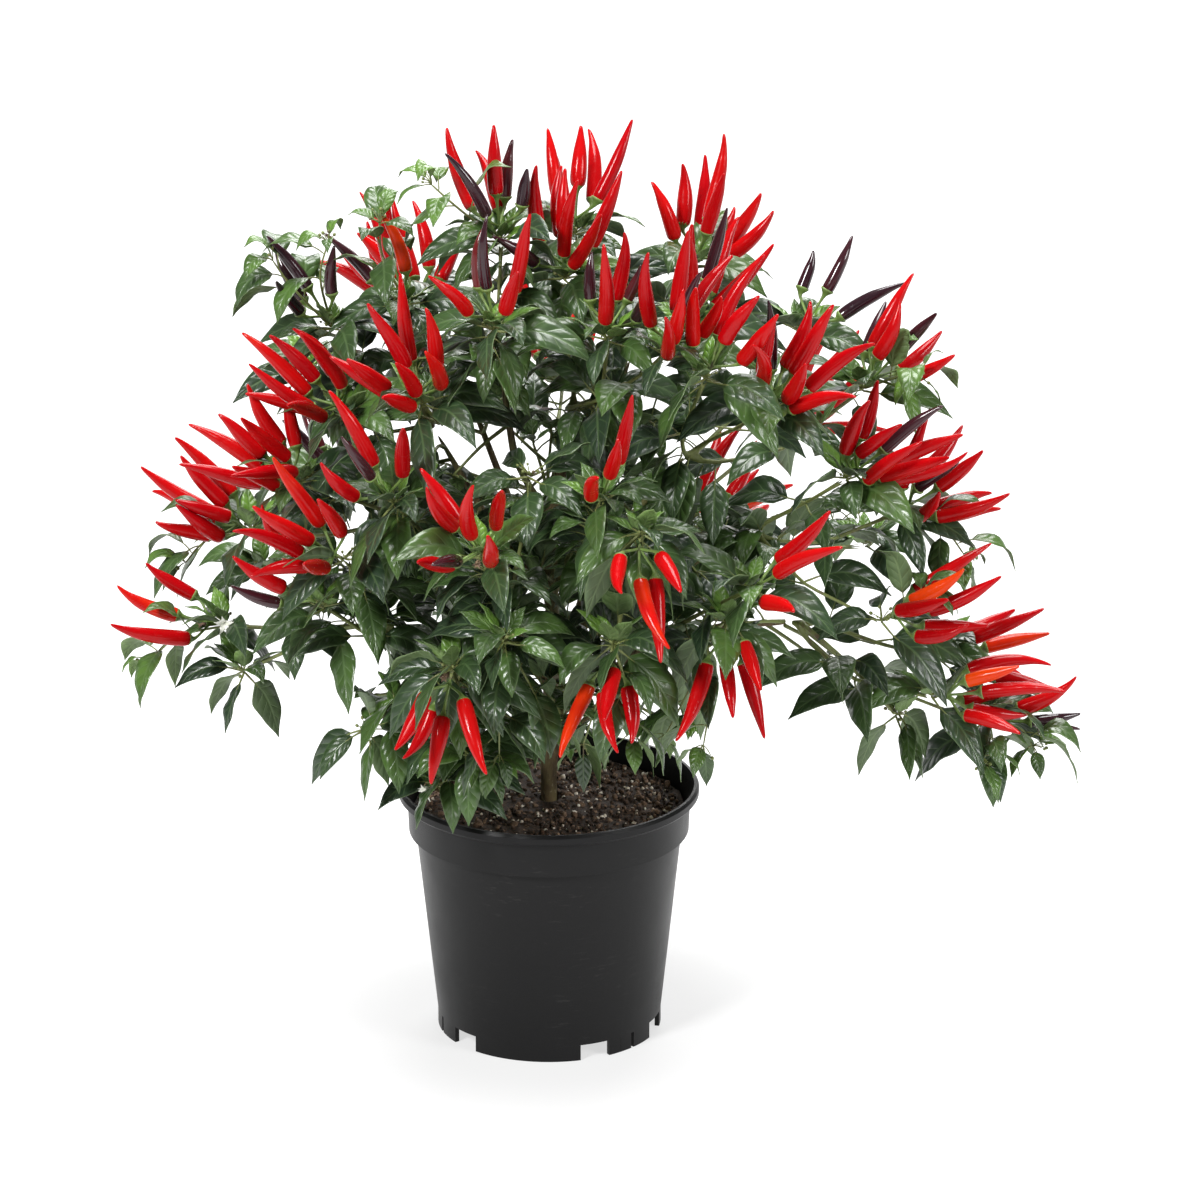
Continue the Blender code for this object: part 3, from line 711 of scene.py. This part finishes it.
leaf_room, pod_room = Room(0.024), Room(0.015)
POD_CLEAR = 0.0085  # how far an added leaf's middle stays from a fruit's
CORE = 0.17  # nearer the axis than this, leaves may stand closer together

# Airy gaps through the plant, slanting down toward the back: (x, height at the axis, radius)
GAP_SLANT = 0.345
GAPS = [
    (0.120, 0.445, 0.034),
    (0.168, 0.425, 0.030),
    (0.015, 0.495, 0.026),
    (0.075, 0.500, 0.026),
    (0.130, 0.490, 0.024),
    (-0.055, 0.455, 0.027),
    (-0.010, 0.435, 0.024),
    (-0.100, 0.460, 0.022),
    (-0.145, 0.385, 0.024),
    (-0.205, 0.325, 0.031),
    (-0.150, 0.290, 0.028),
    (-0.250, 0.200, 0.058),
    (-0.165, 0.205, 0.056),
    (0.240, 0.315, 0.036),
    (0.190, 0.355, 0.026),
    (0.182, 0.308, 0.031),
    (0.165, 0.240, 0.050),
    (0.285, 0.180, 0.038),
    (0.238, 0.232, 0.028),
    (0.288, 0.234, 0.028),
    (0.228, 0.195, 0.030),
    (0.302, 0.274, 0.022),
]


def plant_reach():
    """The CAD plant's own points: what is added stays near them."""
    grown = [node for name, node in nodes.items() if name not in ("pot", "potting_soil")]
    points = [vert.co.copy() for node in grown for vert in node.data.vertices]
    tree = kdtree.KDTree(len(points))
    for i, point in enumerate(points):
        tree.insert(point, i)
    tree.balance()
    return tree


PLANT = plant_reach()
FARTHEST = 0.075  # how far from the CAD plant a leaf may reach
_, POT_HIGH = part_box("pot")
BOX_LOW, BOX_HIGH = (Vector(corner) for corner in cad_box)
OPENING = (0.032, -0.083, 0.184), (0.068, -0.052, 0.238)  # the watering space's corners


def in_gap(point):
    """Whether a point lies in one of the gaps that one sees through from the front and above."""
    height = point.z + GAP_SLANT * point.y
    return any(math.hypot(point.x - x, height - z) < radius for x, z, radius in GAPS)


def allowed(point):
    """Whether a leaf may reach a point: in the plant's outline, clear of its gaps, the pot and the
    watering space."""
    if in_gap(point):
        return False
    margin, lowest = 0.006, 0.15
    low = POT_HIGH.z + 2 * margin if point.xy.length < POT_HIGH.x + margin else lowest
    if point.z < low or any(not BOX_LOW[i] < point[i] < BOX_HIGH[i] for i in range(3)):
        return False
    if all(OPENING[0][i] - margin < point[i] < OPENING[1][i] + margin for i in range(3)):
        return False
    return PLANT.find(point)[2] < FARTHEST


def drooping(start, heading, length, droop):
    """The middle line of a leaf: its stalk out along the heading, then its blade curving down."""
    points, point = [start], start
    for step, fall in ((0.22, 0.0), (0.3, 0.35), (0.3, 0.8), (0.28, 1.1)):
        heading = (heading - UP * droop * fall).normalized()
        point = point + heading * (length * step)
        points.append(point)
    return points


def extra_leaf(bm, twigs, start, heading, length, tone, rng, droop, least):
    """One more leaf, turned to where it has most room, unless that is less than the least it needs."""
    best, most = None, 0
    for turn in (0, 0.6, -0.6, 1.2, -1.2):
        for rise in (0.0, 0.5):
            way = (Quaternion(UP, turn) @ heading + UP * rise).normalized()
            line = drooping(start, way, length, droop)
            if in_gap(line[2]) or not allowed(line[3]) or not allowed(line[4]):
                continue
            space = min(leaf_room.free(point) for point in line[2:])
            if space > most and min(pod_room.free(point) for point in line[2:]) > POD_CLEAR:
                best, most = line, space
    if best is None or most < least:
        return
    along = (best[2] - best[1]).normalized()
    side = square_to(along, UP.cross(along) if abs(along.z) < 0.97 else Vector((1, 0, 0)))
    side = (Quaternion(along, rng.uniform(-0.6, 0.6)) @ side).normalized()
    blade(bm, best[1:], side, length * rng.uniform(0.18, 0.23), tone, rng, rng.uniform(0.1, 0.45))
    thin = 0.00045 + 0.007 * length
    neck = best[1] + along * (0.16 * length)
    points = [best[0], best[0].lerp(best[1], 0.5) + UP * 0.0008, best[1], neck]
    tube(twigs, points, [thin * 1.2, thin, thin, thin * 0.6], 4)
    leaf_room.add([best[1].lerp(best[2], 0.5), best[2], best[2].lerp(best[3], 0.5), best[3], best[4]])


def bared(node):
    """A CAD shoot or cluster cut free of its leaves or fruits, with the cuts open."""
    bm = merged(node)
    doomed = []
    for tip, rings in pointed_ends(bm):
        doomed += [tip] + rings[0] + rings[1] + rings[2]
    bmesh.ops.delete(bm, geom=doomed, context="VERTS")
    return bm


def heal(bm, share):
    """Closes the cuts and gets the skin ready for smoothing."""
    bmesh.ops.holes_fill(bm, edges=[e for e in bm.edges if e.is_boundary], sides=8)
    in_quads(bm)
    filled_out(bm, share)


def twig_skin(shoot):
    """The CAD shoot without its leaves: twigs with knots. Returns it with the places along its twigs
    where more leaves may grow, as (place, outward)."""
    bm = bared(nodes[shoot.name])
    places = []
    for edge in bm.edges:
        a, b = edge.verts
        if edge.calc_length() > 0.008 and len(edge.link_faces) == 2:
            out = (edge.link_faces[0].normal + edge.link_faces[1].normal).normalized()
            steps = int(edge.calc_length() / 0.014) + 1
            places += [(a.co.lerp(b.co, (i + 0.5) / steps) - out * 0.001, out) for i in range(steps)]
    heal(bm, 0.00035)
    return bm, places


def knots_of(shoot):
    """Where leaves leave the twigs, as (place, how many), nearest ones taken together."""
    groups = []
    for line, _ in shoot.ends:
        for group in groups:
            if (group[0] - line[0]).length < 0.009:
                group.append(line[0])
                break
        else:
            groups.append([line[0]])
    return [(sum(group, Vector()) / len(group), len(group)) for group in groups]


def away_from_axis(place):
    flat = Vector((place.x, place.y, 0))
    return flat.normalized() if flat.length > 0.02 else Vector((0.6, -0.8, 0))


def bud(bm, start, heading, rng):
    """A round flower bud on a short curved stalk."""
    length = rng.uniform(0.006, 0.011)
    size = rng.uniform(0.0011, 0.0018)
    end = start + heading * length
    tube(bm, [start, start + heading * length * 0.5 + UP * 0.0015, end], [0.0006, 0.00055, 0.0007], 4)
    turn = heading.to_track_quat("Z", "Y").to_matrix().to_4x4()
    matrix = Matrix.Translation(end + heading * size * 0.8) @ turn @ Matrix.Diagonal((1, 1, 1.25, 1))
    bmesh.ops.create_icosphere(bm, subdivisions=1, radius=size, matrix=matrix)


def flower(bm, stalks, start, heading, opening, size, rng):
    """A nodding flower of five pointed petals on a thin stalk, spread by its opening."""
    end = start + heading * rng.uniform(0.010, 0.016) - UP * 0.002
    tube(stalks, [start, start.lerp(end, 0.5) + UP * 0.003, end], [0.0007, 0.0006, 0.0010], 4)
    face = (heading - UP * 0.7).normalized()
    for i in range(5):
        across = Quaternion(face, 2 * math.pi * i / 5 + rng.uniform(-0.2, 0.2)) @ square_to(face, UP)
        way = (face + across * opening).normalized()
        line = [end, end + way * size * 0.35, end + way * size * 0.7, end + (way + across * 0.3) * size]
        blade(bm, line, square_to(way, face.cross(across)), size * 0.3, 0, rng, 0.5)


# Flowers in bloom and withered ones: shoot, place, and how far open each is, 0 for a withered one
BLOSSOMS = [
    ("front_low_left", (-0.078, -0.098, 0.224), (0.9, 0, 0, 0)),
    ("front_low_left", (-0.068, -0.185, 0.336), (0, 0)),
    ("front_mid", (-0.046, -0.195, 0.436), (0, 0)),
    ("low_left", (-0.245, -0.020, 0.322), (0, 0.8)),
    ("low_right", (0.330, 0.000, 0.238), (0, 0)),
    ("back_mid", (0.070, 0.190, 0.500), (1.0, 0.8, 0)),
]
open_petals, withered_petals = new_leafy(), new_leafy()


def blossoms(label, knots, stalks, rng):
    """A shoot's flowers, each group at the knot nearest to its place."""
    for shoot, place, openings in BLOSSOMS:
        if shoot == label:
            start = min((knot for knot, _ in knots), key=lambda knot: (knot - Vector(place)).length)
            out = away_from_axis(start)
            for i, opening in enumerate(openings):
                heading = (Quaternion(UP, GOLDEN * i) @ out + out * 0.8 + UP * 0.5).normalized()
                bm, size = (open_petals, 0.0085) if opening else (withered_petals, 0.006)
                flower(bm, stalks, start, heading, opening or 0.25, size, rng)


# Thin twigs that run on past the shoots: shoot, end, and how young their leaves are, from 0 to 1
SPRAYS = [
    ("front_right", (0.112, -0.150, 0.275), 0.1),
    ("front", (0.060, -0.172, 0.292), 0.2),
    ("low_right", (0.318, -0.045, 0.226), 0.1),
    ("low_right", (0.358, -0.010, 0.222), 0.3),
    ("low_left", (-0.292, -0.020, 0.292), 0.5),
    ("mid_left", (-0.268, 0.030, 0.352), 0.2),
    ("mid_right", (0.304, -0.010, 0.372), 0.3),
    ("mid_right", (0.272, -0.048, 0.352), 0.2),
    ("crown_left", (-0.082, -0.025, 0.655), 0.5),
    ("front_mid", (-0.034, -0.150, 0.268), 0.1),
    ("front_mid", (0.002, -0.148, 0.290), 0.2),
    ("front", (0.026, -0.135, 0.270), 0.1),
    ("front_low_left", (-0.048, -0.128, 0.252), 0.3),
    ("front_right", (0.085, -0.122, 0.272), 0.2),
    ("upper_right", (0.268, -0.020, 0.510), 0.5),
    ("upper_left", (-0.158, 0.000, 0.605), 0.3),
    ("upper_left", (-0.120, -0.010, 0.622), 0.2),
    ("upper_left", (-0.198, 0.005, 0.590), 0.2),
    ("back_mid", (0.040, 0.235, 0.385), 0.3),
    ("back_right", (0.215, 0.165, 0.340), 0.3),
]


def sprays(label, knots, bm, twigs, rng):
    """A shoot's thin runners: leaves along the outer half, and small ones and buds at the end."""
    for shoot, end, tone in SPRAYS:
        if shoot != label:
            continue
        end = Vector(end)
        start = min((knot for knot, _ in knots), key=lambda knot: (knot - end).length)
        way = (end - start).normalized()
        path = smooth_path([start, start.lerp(end, 0.5) + UP * 0.006 + away_from_axis(end) * 0.008, end], 7)
        tube(twigs, path, [0.0014 - 0.0001 * i for i in range(7)], 5, tip=True)
        side = square_to(way, UP)
        for i in range(7):
            heading = (Quaternion(way, GOLDEN * i) @ side + way * (0.5 if i < 4 else 1.2)).normalized()
            length = rng.uniform(0.042, 0.056) if i < 4 else rng.uniform(0.024, 0.036)
            shade = tone + rng.uniform(-0.05, 0.1) + (0.3 if i > 4 else 0)
            place, droop = path[min(2 + i, 6)], rng.uniform(0.5, 1.2)
            extra_leaf(bm, twigs, place, heading, length, min(1, shade), rng, droop, 0.004)
        for i in range(4):
            bud(twigs, end, (Quaternion(way, GOLDEN * i) @ side + way * 1.4).normalized(), rng)


def leafy_shoot(shoot, number):
    """All of one shoot: the CAD leaves' fine blades, more leaves where there is room, and buds."""
    rng = random.Random(100 + number)
    bm = new_leafy()
    twigs, places = twig_skin(shoot)
    for line, half in shoot.ends:
        along = (line[2] - line[1]).normalized()
        side = square_to(along, half)
        if along.cross(side).z < 0:
            side = -side
        tone = rng.choice((0.0, 0.05, 0.1, 0.15, 0.3))
        blade(bm, line[1:], side, half.length * rng.uniform(0.86, 1.0), tone, rng)
        neck = line[1] + along * 0.008
        tube(twigs, [line[0] - along * 0.002, line[0].lerp(line[1], 0.5), line[1], neck], PETIOLE, 5)
    label = shoot.name.replace("shoot_", "")
    knots = knots_of(shoot)
    sprays(label, knots, bm, twigs, rng)
    blossoms(label, knots, twigs, rng)
    for place, count in knots:
        out = away_from_axis(place)
        if count >= 3:
            for i in range(4):
                turned = Quaternion(UP, GOLDEN * i + number) @ out
                heading = (turned + out * 0.25 + UP * rng.uniform(0, 0.5)).normalized()
                length, tone = rng.uniform(0.038, 0.060), rng.uniform(0, 0.4)
                droop = rng.uniform(0.2, 0.8)
                extra_leaf(bm, twigs, place, heading, length, tone, rng, droop, 0.0095)
            for i in range(6):
                heading = (Quaternion(UP, GOLDEN * i) @ out + UP * 0.8).normalized()
                length, tone = rng.uniform(0.020, 0.036), rng.uniform(0.4, 1.0)
                extra_leaf(bm, twigs, place, heading, length, tone, rng, 0.2, 0.005)
            for i in range(6):
                heading = (Quaternion(UP, GOLDEN * i + 1) @ out + UP * 0.7).normalized()
                bud(twigs, place, heading, rng)
    rng.shuffle(places)
    for place, out in places:
        least = 0.0135 if place.xy.length < CORE else 0.0185
        length, tone, droop = rng.uniform(0.036, 0.060), rng.uniform(0, 0.4), rng.uniform(0.3, 1.2)
        extra_leaf(bm, twigs, place, out, length, tone, rng, droop, least)
    blades_piece("blades_" + label, bm, [shoot.name])
    add_piece("twigs_" + label, twigs, ["twig"], [shoot.name], levels=1)


def limb_places():
    """Places on the stem's limbs where side twigs may leave, as (place, outward, along)."""
    bm = merged(nodes["stem"])
    places = []
    for edge in bm.edges:
        a, b = edge.verts
        low = min(a.co.z, b.co.z)
        if edge.calc_length() > 0.007 and low > POT_HIGH.z + 0.01:
            out = (edge.link_faces[0].normal + edge.link_faces[1].normal).normalized()
            steps = int(edge.calc_length() / 0.012) + 1
            along = (b.co - a.co).normalized()
            along = along if along.z > 0 else -along
            for i in range(steps):
                places.append((a.co.lerp(b.co, (i + 0.5) / steps) - out * 0.0018, out, along))
    bm.free()
    return places


LOWEST_SIDE_TWIG = 0.26  # no side twig ends lower, to leave the trunk bare over the soil


def inner_growth():
    """Side twigs with leaves that fill the plant's middle, each where its end has most room."""
    per_piece, tries, room = 40, 10, 0.018  # side twigs in a piece, ways tried for each, least room
    rng = random.Random(77)
    places = limb_places()
    rng.shuffle(places)
    bm, twigs = new_leafy(), bmesh.new()
    part, grown = 0, 0
    for place, out, along in places:
        best, most = None, room
        length = rng.uniform(0.035, 0.075)
        for _ in range(tries):
            lean = Vector((rng.gauss(0, 1), rng.gauss(0, 1), rng.gauss(0.3, 0.8))) * 0.5
            heading = (out + along * 0.3 + lean).normalized()
            end = place + heading * length
            space = min(leaf_room.free(end), leaf_room.free(place.lerp(end, 0.6)))
            if space > most and pod_room.free(end) > 0.012 and end.z > LOWEST_SIDE_TWIG and allowed(end):
                best, most = heading, space
        if best is None:
            continue
        bow = place + best * length * 0.5 + UP * 0.003
        end = place + best * length + UP * rng.uniform(-0.004, 0.008)
        path = smooth_path([place, bow, end], 7)
        tube(twigs, path, [0.0017 - 0.00012 * i for i in range(7)], 5, tip=True)
        tone = rng.choice((0.0, 0.0, 0.1, 0.2, 0.5))
        for i in range(2, 7):
            side = Quaternion(best, GOLDEN * i) @ square_to(best, UP)
            way = (side + best * (0.5 if i < 6 else 1.2) + UP * 0.15).normalized()
            size, droop = rng.uniform(0.038, 0.062), rng.uniform(0.2, 0.9)
            extra_leaf(bm, twigs, path[i], way, size, tone, rng, droop, 0.0105)
        for i in range(3):
            way = (Quaternion(best, GOLDEN * i) @ square_to(best, UP) + best * 1.3).normalized()
            size = rng.uniform(0.020, 0.034)
            extra_leaf(bm, twigs, path[6], way, size, min(1, tone + 0.4), rng, 0.3, 0.005)
        grown += 1
        if grown % per_piece == 0:
            part += 1
            finish_inner(bm, twigs, part)
            bm, twigs = new_leafy(), bmesh.new()
    finish_inner(bm, twigs, part + 1)


def finish_inner(bm, twigs, part):
    blades_piece(f"inner_blades_{part}", bm)
    add_piece(f"inner_twigs_{part}", twigs, ["twig"])


# Fruits


def pod(bm, neck, tip, radius, tone, rng):
    """One fruit: a blunt shoulder, a long body and a slightly hooked point."""
    axis = (tip - neck).normalized()
    length = (tip - neck).length
    side = square_to(axis, UP)
    bend = Quaternion(axis, rng.uniform(0, 6.28)) @ side * length * rng.uniform(0.04, 0.2)
    hook = Quaternion(axis, rng.uniform(0, 6.28)) @ side * length * rng.uniform(0.01, 0.12)
    rings = []
    for share, wide in POD_OUTLINE:
        centre = neck + axis * (length * share) + bend * (1.6 * share * (share - 0.25)) + hook * share**5
        rings.append(ring(centre, axis, side, radius * wide * rng.uniform(0.94, 1.06), 8))
    start = set(bm.verts)
    grow(bm, sprout(bm, rings[0], rings[1]), rings[2:], tip + bend * 1.2 + hook)
    tones = bm.verts.layers.float["tone"]
    change = rng.uniform(-0.05, 0.08)
    for vert in bm.verts:
        if vert not in start:
            vert[tones] = tone + change * (vert.co - neck).dot(axis) / length


def pod_stalk(bm, hub, leave, neck, tip):
    """A fruit's stalk from the hub, widening to the calyx that caps the shoulder."""
    axis = (tip - neck).normalized()
    path = smooth_path([hub, leave, neck + axis * CALYX[0][0]], 6)
    points = path[:-1] + [neck + axis * along for along, _ in CALYX]
    radii = [0.0014, 0.0013, 0.0012, 0.00115, 0.00115] + [radius for _, radius in CALYX]
    tube(bm, points, radii, 6)


def take_room(neck, tip):
    """Marks a fruit's place as taken."""
    steps = 8
    pod_room.add([neck.lerp(tip, i / steps) for i in range(steps + 1)])


# How ripe each cluster's fruits are, from 0, purple-black, to 1, red
UNRIPE = 0.4  # below this a fruit is dark
RIPE = (0.78, 0.86, 0.92, 0.97, 0.9, 0.88, 0.95)
RIPENESS = {
    "crown_left_a": (0.9, 0.12, 0.92, 0.1, 0.86, 0.3),
    "crown_left_b": (0.9, 0.1, 0.88, 0.34),
    "crown_mid_a": (0.9, 0.86, 0.14, 0.95, 0.9, 0.88, 0.92),
    "crown_mid_b": (0.12, 0.9, 0.16, 0.95, 0.32),
    "crown_mid_c": (0.92, 0.97, 0.86, 0.95, 0.14, 0.9, 0.94),
    "crown_mid_d": (0.9, 0.95, 0.2, 0.36, 0.9, 0.94),
    "upper_left_a": (0.2, 0.9, 0.62, 0.95),
    "upper_left_d": (0.1, 0.05, 0.15),
    "upper_right_b": (0.92, 0.9, 0.97, 0.14, 0.88, 0.95, 0.9, 0.92),
    "upper_right_c": (0.12, 0.2, 0.05),
    "upper_right_d": (0.92, 0.88, 0.12, 0.95, 0.2),
    "mid_right_a": (0.94, 0.97, 0.9, 0.92, 0.88, 0.95, 0.9, 0.18),
    "mid_right_b": (0.92, 0.95, 0.88, 0.14, 0.95, 0.9),
    "mid_right_c": (0.9, 0.95, 0.66, 0.92, 0.9, 0.94),
    "mid_left_c": (0.95, 0.9, 0.98, 0.22),
    "low_left_a": (0.92, 0.72, 0.95),
    "low_left_c": (0.92, 0.24, 0.9),
    "low_right_a": (0.9, 0.94, 0.92, 0.68, 0.96),
    "low_right_b": (0.62, 0.88, 0.92, 0.95, 0.9, 0.97),
    "low_right_c": (0.1, 0.9, 0.2),
    "front_b": (0.92, 0.9, 0.66, 0.95),
    "front_c": (0.9, 0.88, 0.7, 0.92),
    "front_mid_a": (0.92, 0.95, 0.9, 0.15, 0.92, 0.9, 0.95),
    "back_left_a": (0.1, 0.15, 0.3),
    "back_right_b": (0.9, 0.66, 0.95),
}


def fruit_cluster(cluster, number):
    """All of one cluster: its fine fruits, their stalks and the CAD model's hub. Unripe ones are small."""
    rng = random.Random(500 + number)
    label = cluster.name.replace("fruits_", "")
    tones = RIPENESS.get(label, RIPE)
    bm, stalks = bmesh.new(), bared(nodes[cluster.name])
    bm.verts.layers.float.new("tone")
    hub = middle(stalks.verts)
    heal(stalks, -0.0004)
    stems = bmesh.new()
    for i, (line, half) in enumerate(cluster.ends):
        leave, neck, tip = line[0], line[1], line[4]
        tone = tones[i % len(tones)] + rng.uniform(-0.04, 0.04)
        if tone < UNRIPE:
            tip = neck + (tip - neck) * rng.uniform(0.66, 0.9)
        radius = half.length * rng.uniform(0.84, 0.98) * (0.85 if tone < UNRIPE else 1)
        pod(bm, neck, tip, radius, tone, rng)
        pod_stalk(stems, hub, leave, neck, tip)
    add_piece("pods_" + label, bm, ["fruit"], [cluster.name], levels=1)
    add_piece("hub_" + label, stalks, ["stalk"], [cluster.name], levels=2)
    add_piece("stalks_" + label, stems, ["stalk"], [cluster.name], levels=1)


# The floor, the lights and the camera


def floor():
    """A pale floor that glows evenly, with a painted shadow: it glows a little less under the pot, where
    its shade falls.
    """
    # shade is the grey glow of the painted shadow near the pot, bright is the white glow farther out
    shade, bright, inner, outer = (0.65, 0.65, 0.65), (1.0, 1.0, 1.0), 0.1, 0.3
    bm = bmesh.new()
    bmesh.ops.create_grid(bm, x_segments=1, y_segments=1, size=12)
    bmesh.ops.translate(bm, verts=bm.verts, vec=(0, 0, -0.0002))
    obj = as_object("floor", bm)
    mat, tree, shader = new_material("floor_pale")
    away = tree.nodes.new("ShaderNodeVectorMath")
    away.operation = "LENGTH"
    tree.links.new(tree.nodes.new("ShaderNodeTexCoord").outputs["Object"], away.inputs[0])
    # The glow fades from the painted shadow's grey at the pot to white away from it
    glow_with_painted_shadow = blend_colour(tree, fade(tree, away.outputs["Value"], inner, outer), shade, bright)
    tree.links.new(glow_with_painted_shadow, shader["Emission Color"])
    shader["Emission Strength"].default_value = 1.0
    shader["Base Color"].default_value = (0.26, 0.26, 0.26, 1)
    shader["Roughness"].default_value = 0.9
    shader["Specular IOR Level"].default_value = 0.0
    obj.data.materials.append(mat)


def light(name, place, size, power):
    """A soft round light aimed at the plant's middle."""
    aim = Vector((0, 0, 0.35))
    data = bpy.data.lights.new(name, "AREA")
    data.shape = "DISK"
    data.size = size
    data.energy = power
    obj = bpy.data.objects.new(name, data)
    obj.location = place
    obj.rotation_euler = (aim - Vector(place)).to_track_quat("-Z", "Y").to_euler()
    bpy.context.scene.collection.objects.link(obj)


def studio():
    """Soft lights in a white room: from the front left, weaker from the front right, above, behind."""
    bpy.context.scene.view_settings.view_transform = "Standard"
    world = bpy.data.worlds.new("studio")
    bpy.context.scene.world = world
    world.use_nodes = True
    background = world.node_tree.nodes["Background"]
    background.inputs["Color"].default_value = (1, 1, 1, 1)
    background.inputs["Strength"].default_value = 0.2
    light("key", (-1.5, -1.9, 2.0), 0.7, 82)
    light("fill", (2.2, -1.4, 1.4), 1.0, 46)
    light("top", (0.1, 0.3, 3.0), 1.6, 110)
    light("back", (0.4, 2.4, 1.9), 1.8, 60)


def camera():
    """The camera looks down at the plant's middle through a long lens."""
    distance, elevation = 4.476, math.radians(19.04)
    target = Vector((0.038, 0, 0.3329))
    data = bpy.data.cameras.new("camera")
    data.sensor_width = 36
    data.lens = 182.65
    obj = bpy.data.objects.new("camera", data)
    obj.location = target + Vector((0, -math.cos(elevation), math.sin(elevation))) * distance
    obj.rotation_euler = (math.pi / 2 - elevation, 0, 0)
    bpy.context.scene.collection.objects.link(obj)
    bpy.context.scene.camera = obj


camera()
studio()
floor()
pot_body()
soil_ball()
scattered("soil_crumbs", "soil", 900, (0.0012, 0.0030), 11)
scattered("bark_chips", "chips", 480, (0.0009, 0.0033), 12)
scattered("perlite_bits", "perlite", 300, (0.0008, 0.0021), 13, 0.9)
stem_bark()
for cluster in clusters:
    for line, _ in cluster.ends:
        take_room(line[1], line[4])
for number, cluster in enumerate(clusters):
    fruit_cluster(cluster, number)
for shoot in shoots:
    for line, _ in shoot.ends:
        leaf_room.add(smooth_path(line[1:], 7)[1:])
for number, shoot in enumerate(shoots):
    leafy_shoot(shoot, number)
inner_growth()
blades_piece("open_petals", open_petals, finishes=("petal", "petal"))
blades_piece("withered_petals", withered_petals, finishes=("withered", "withered"))
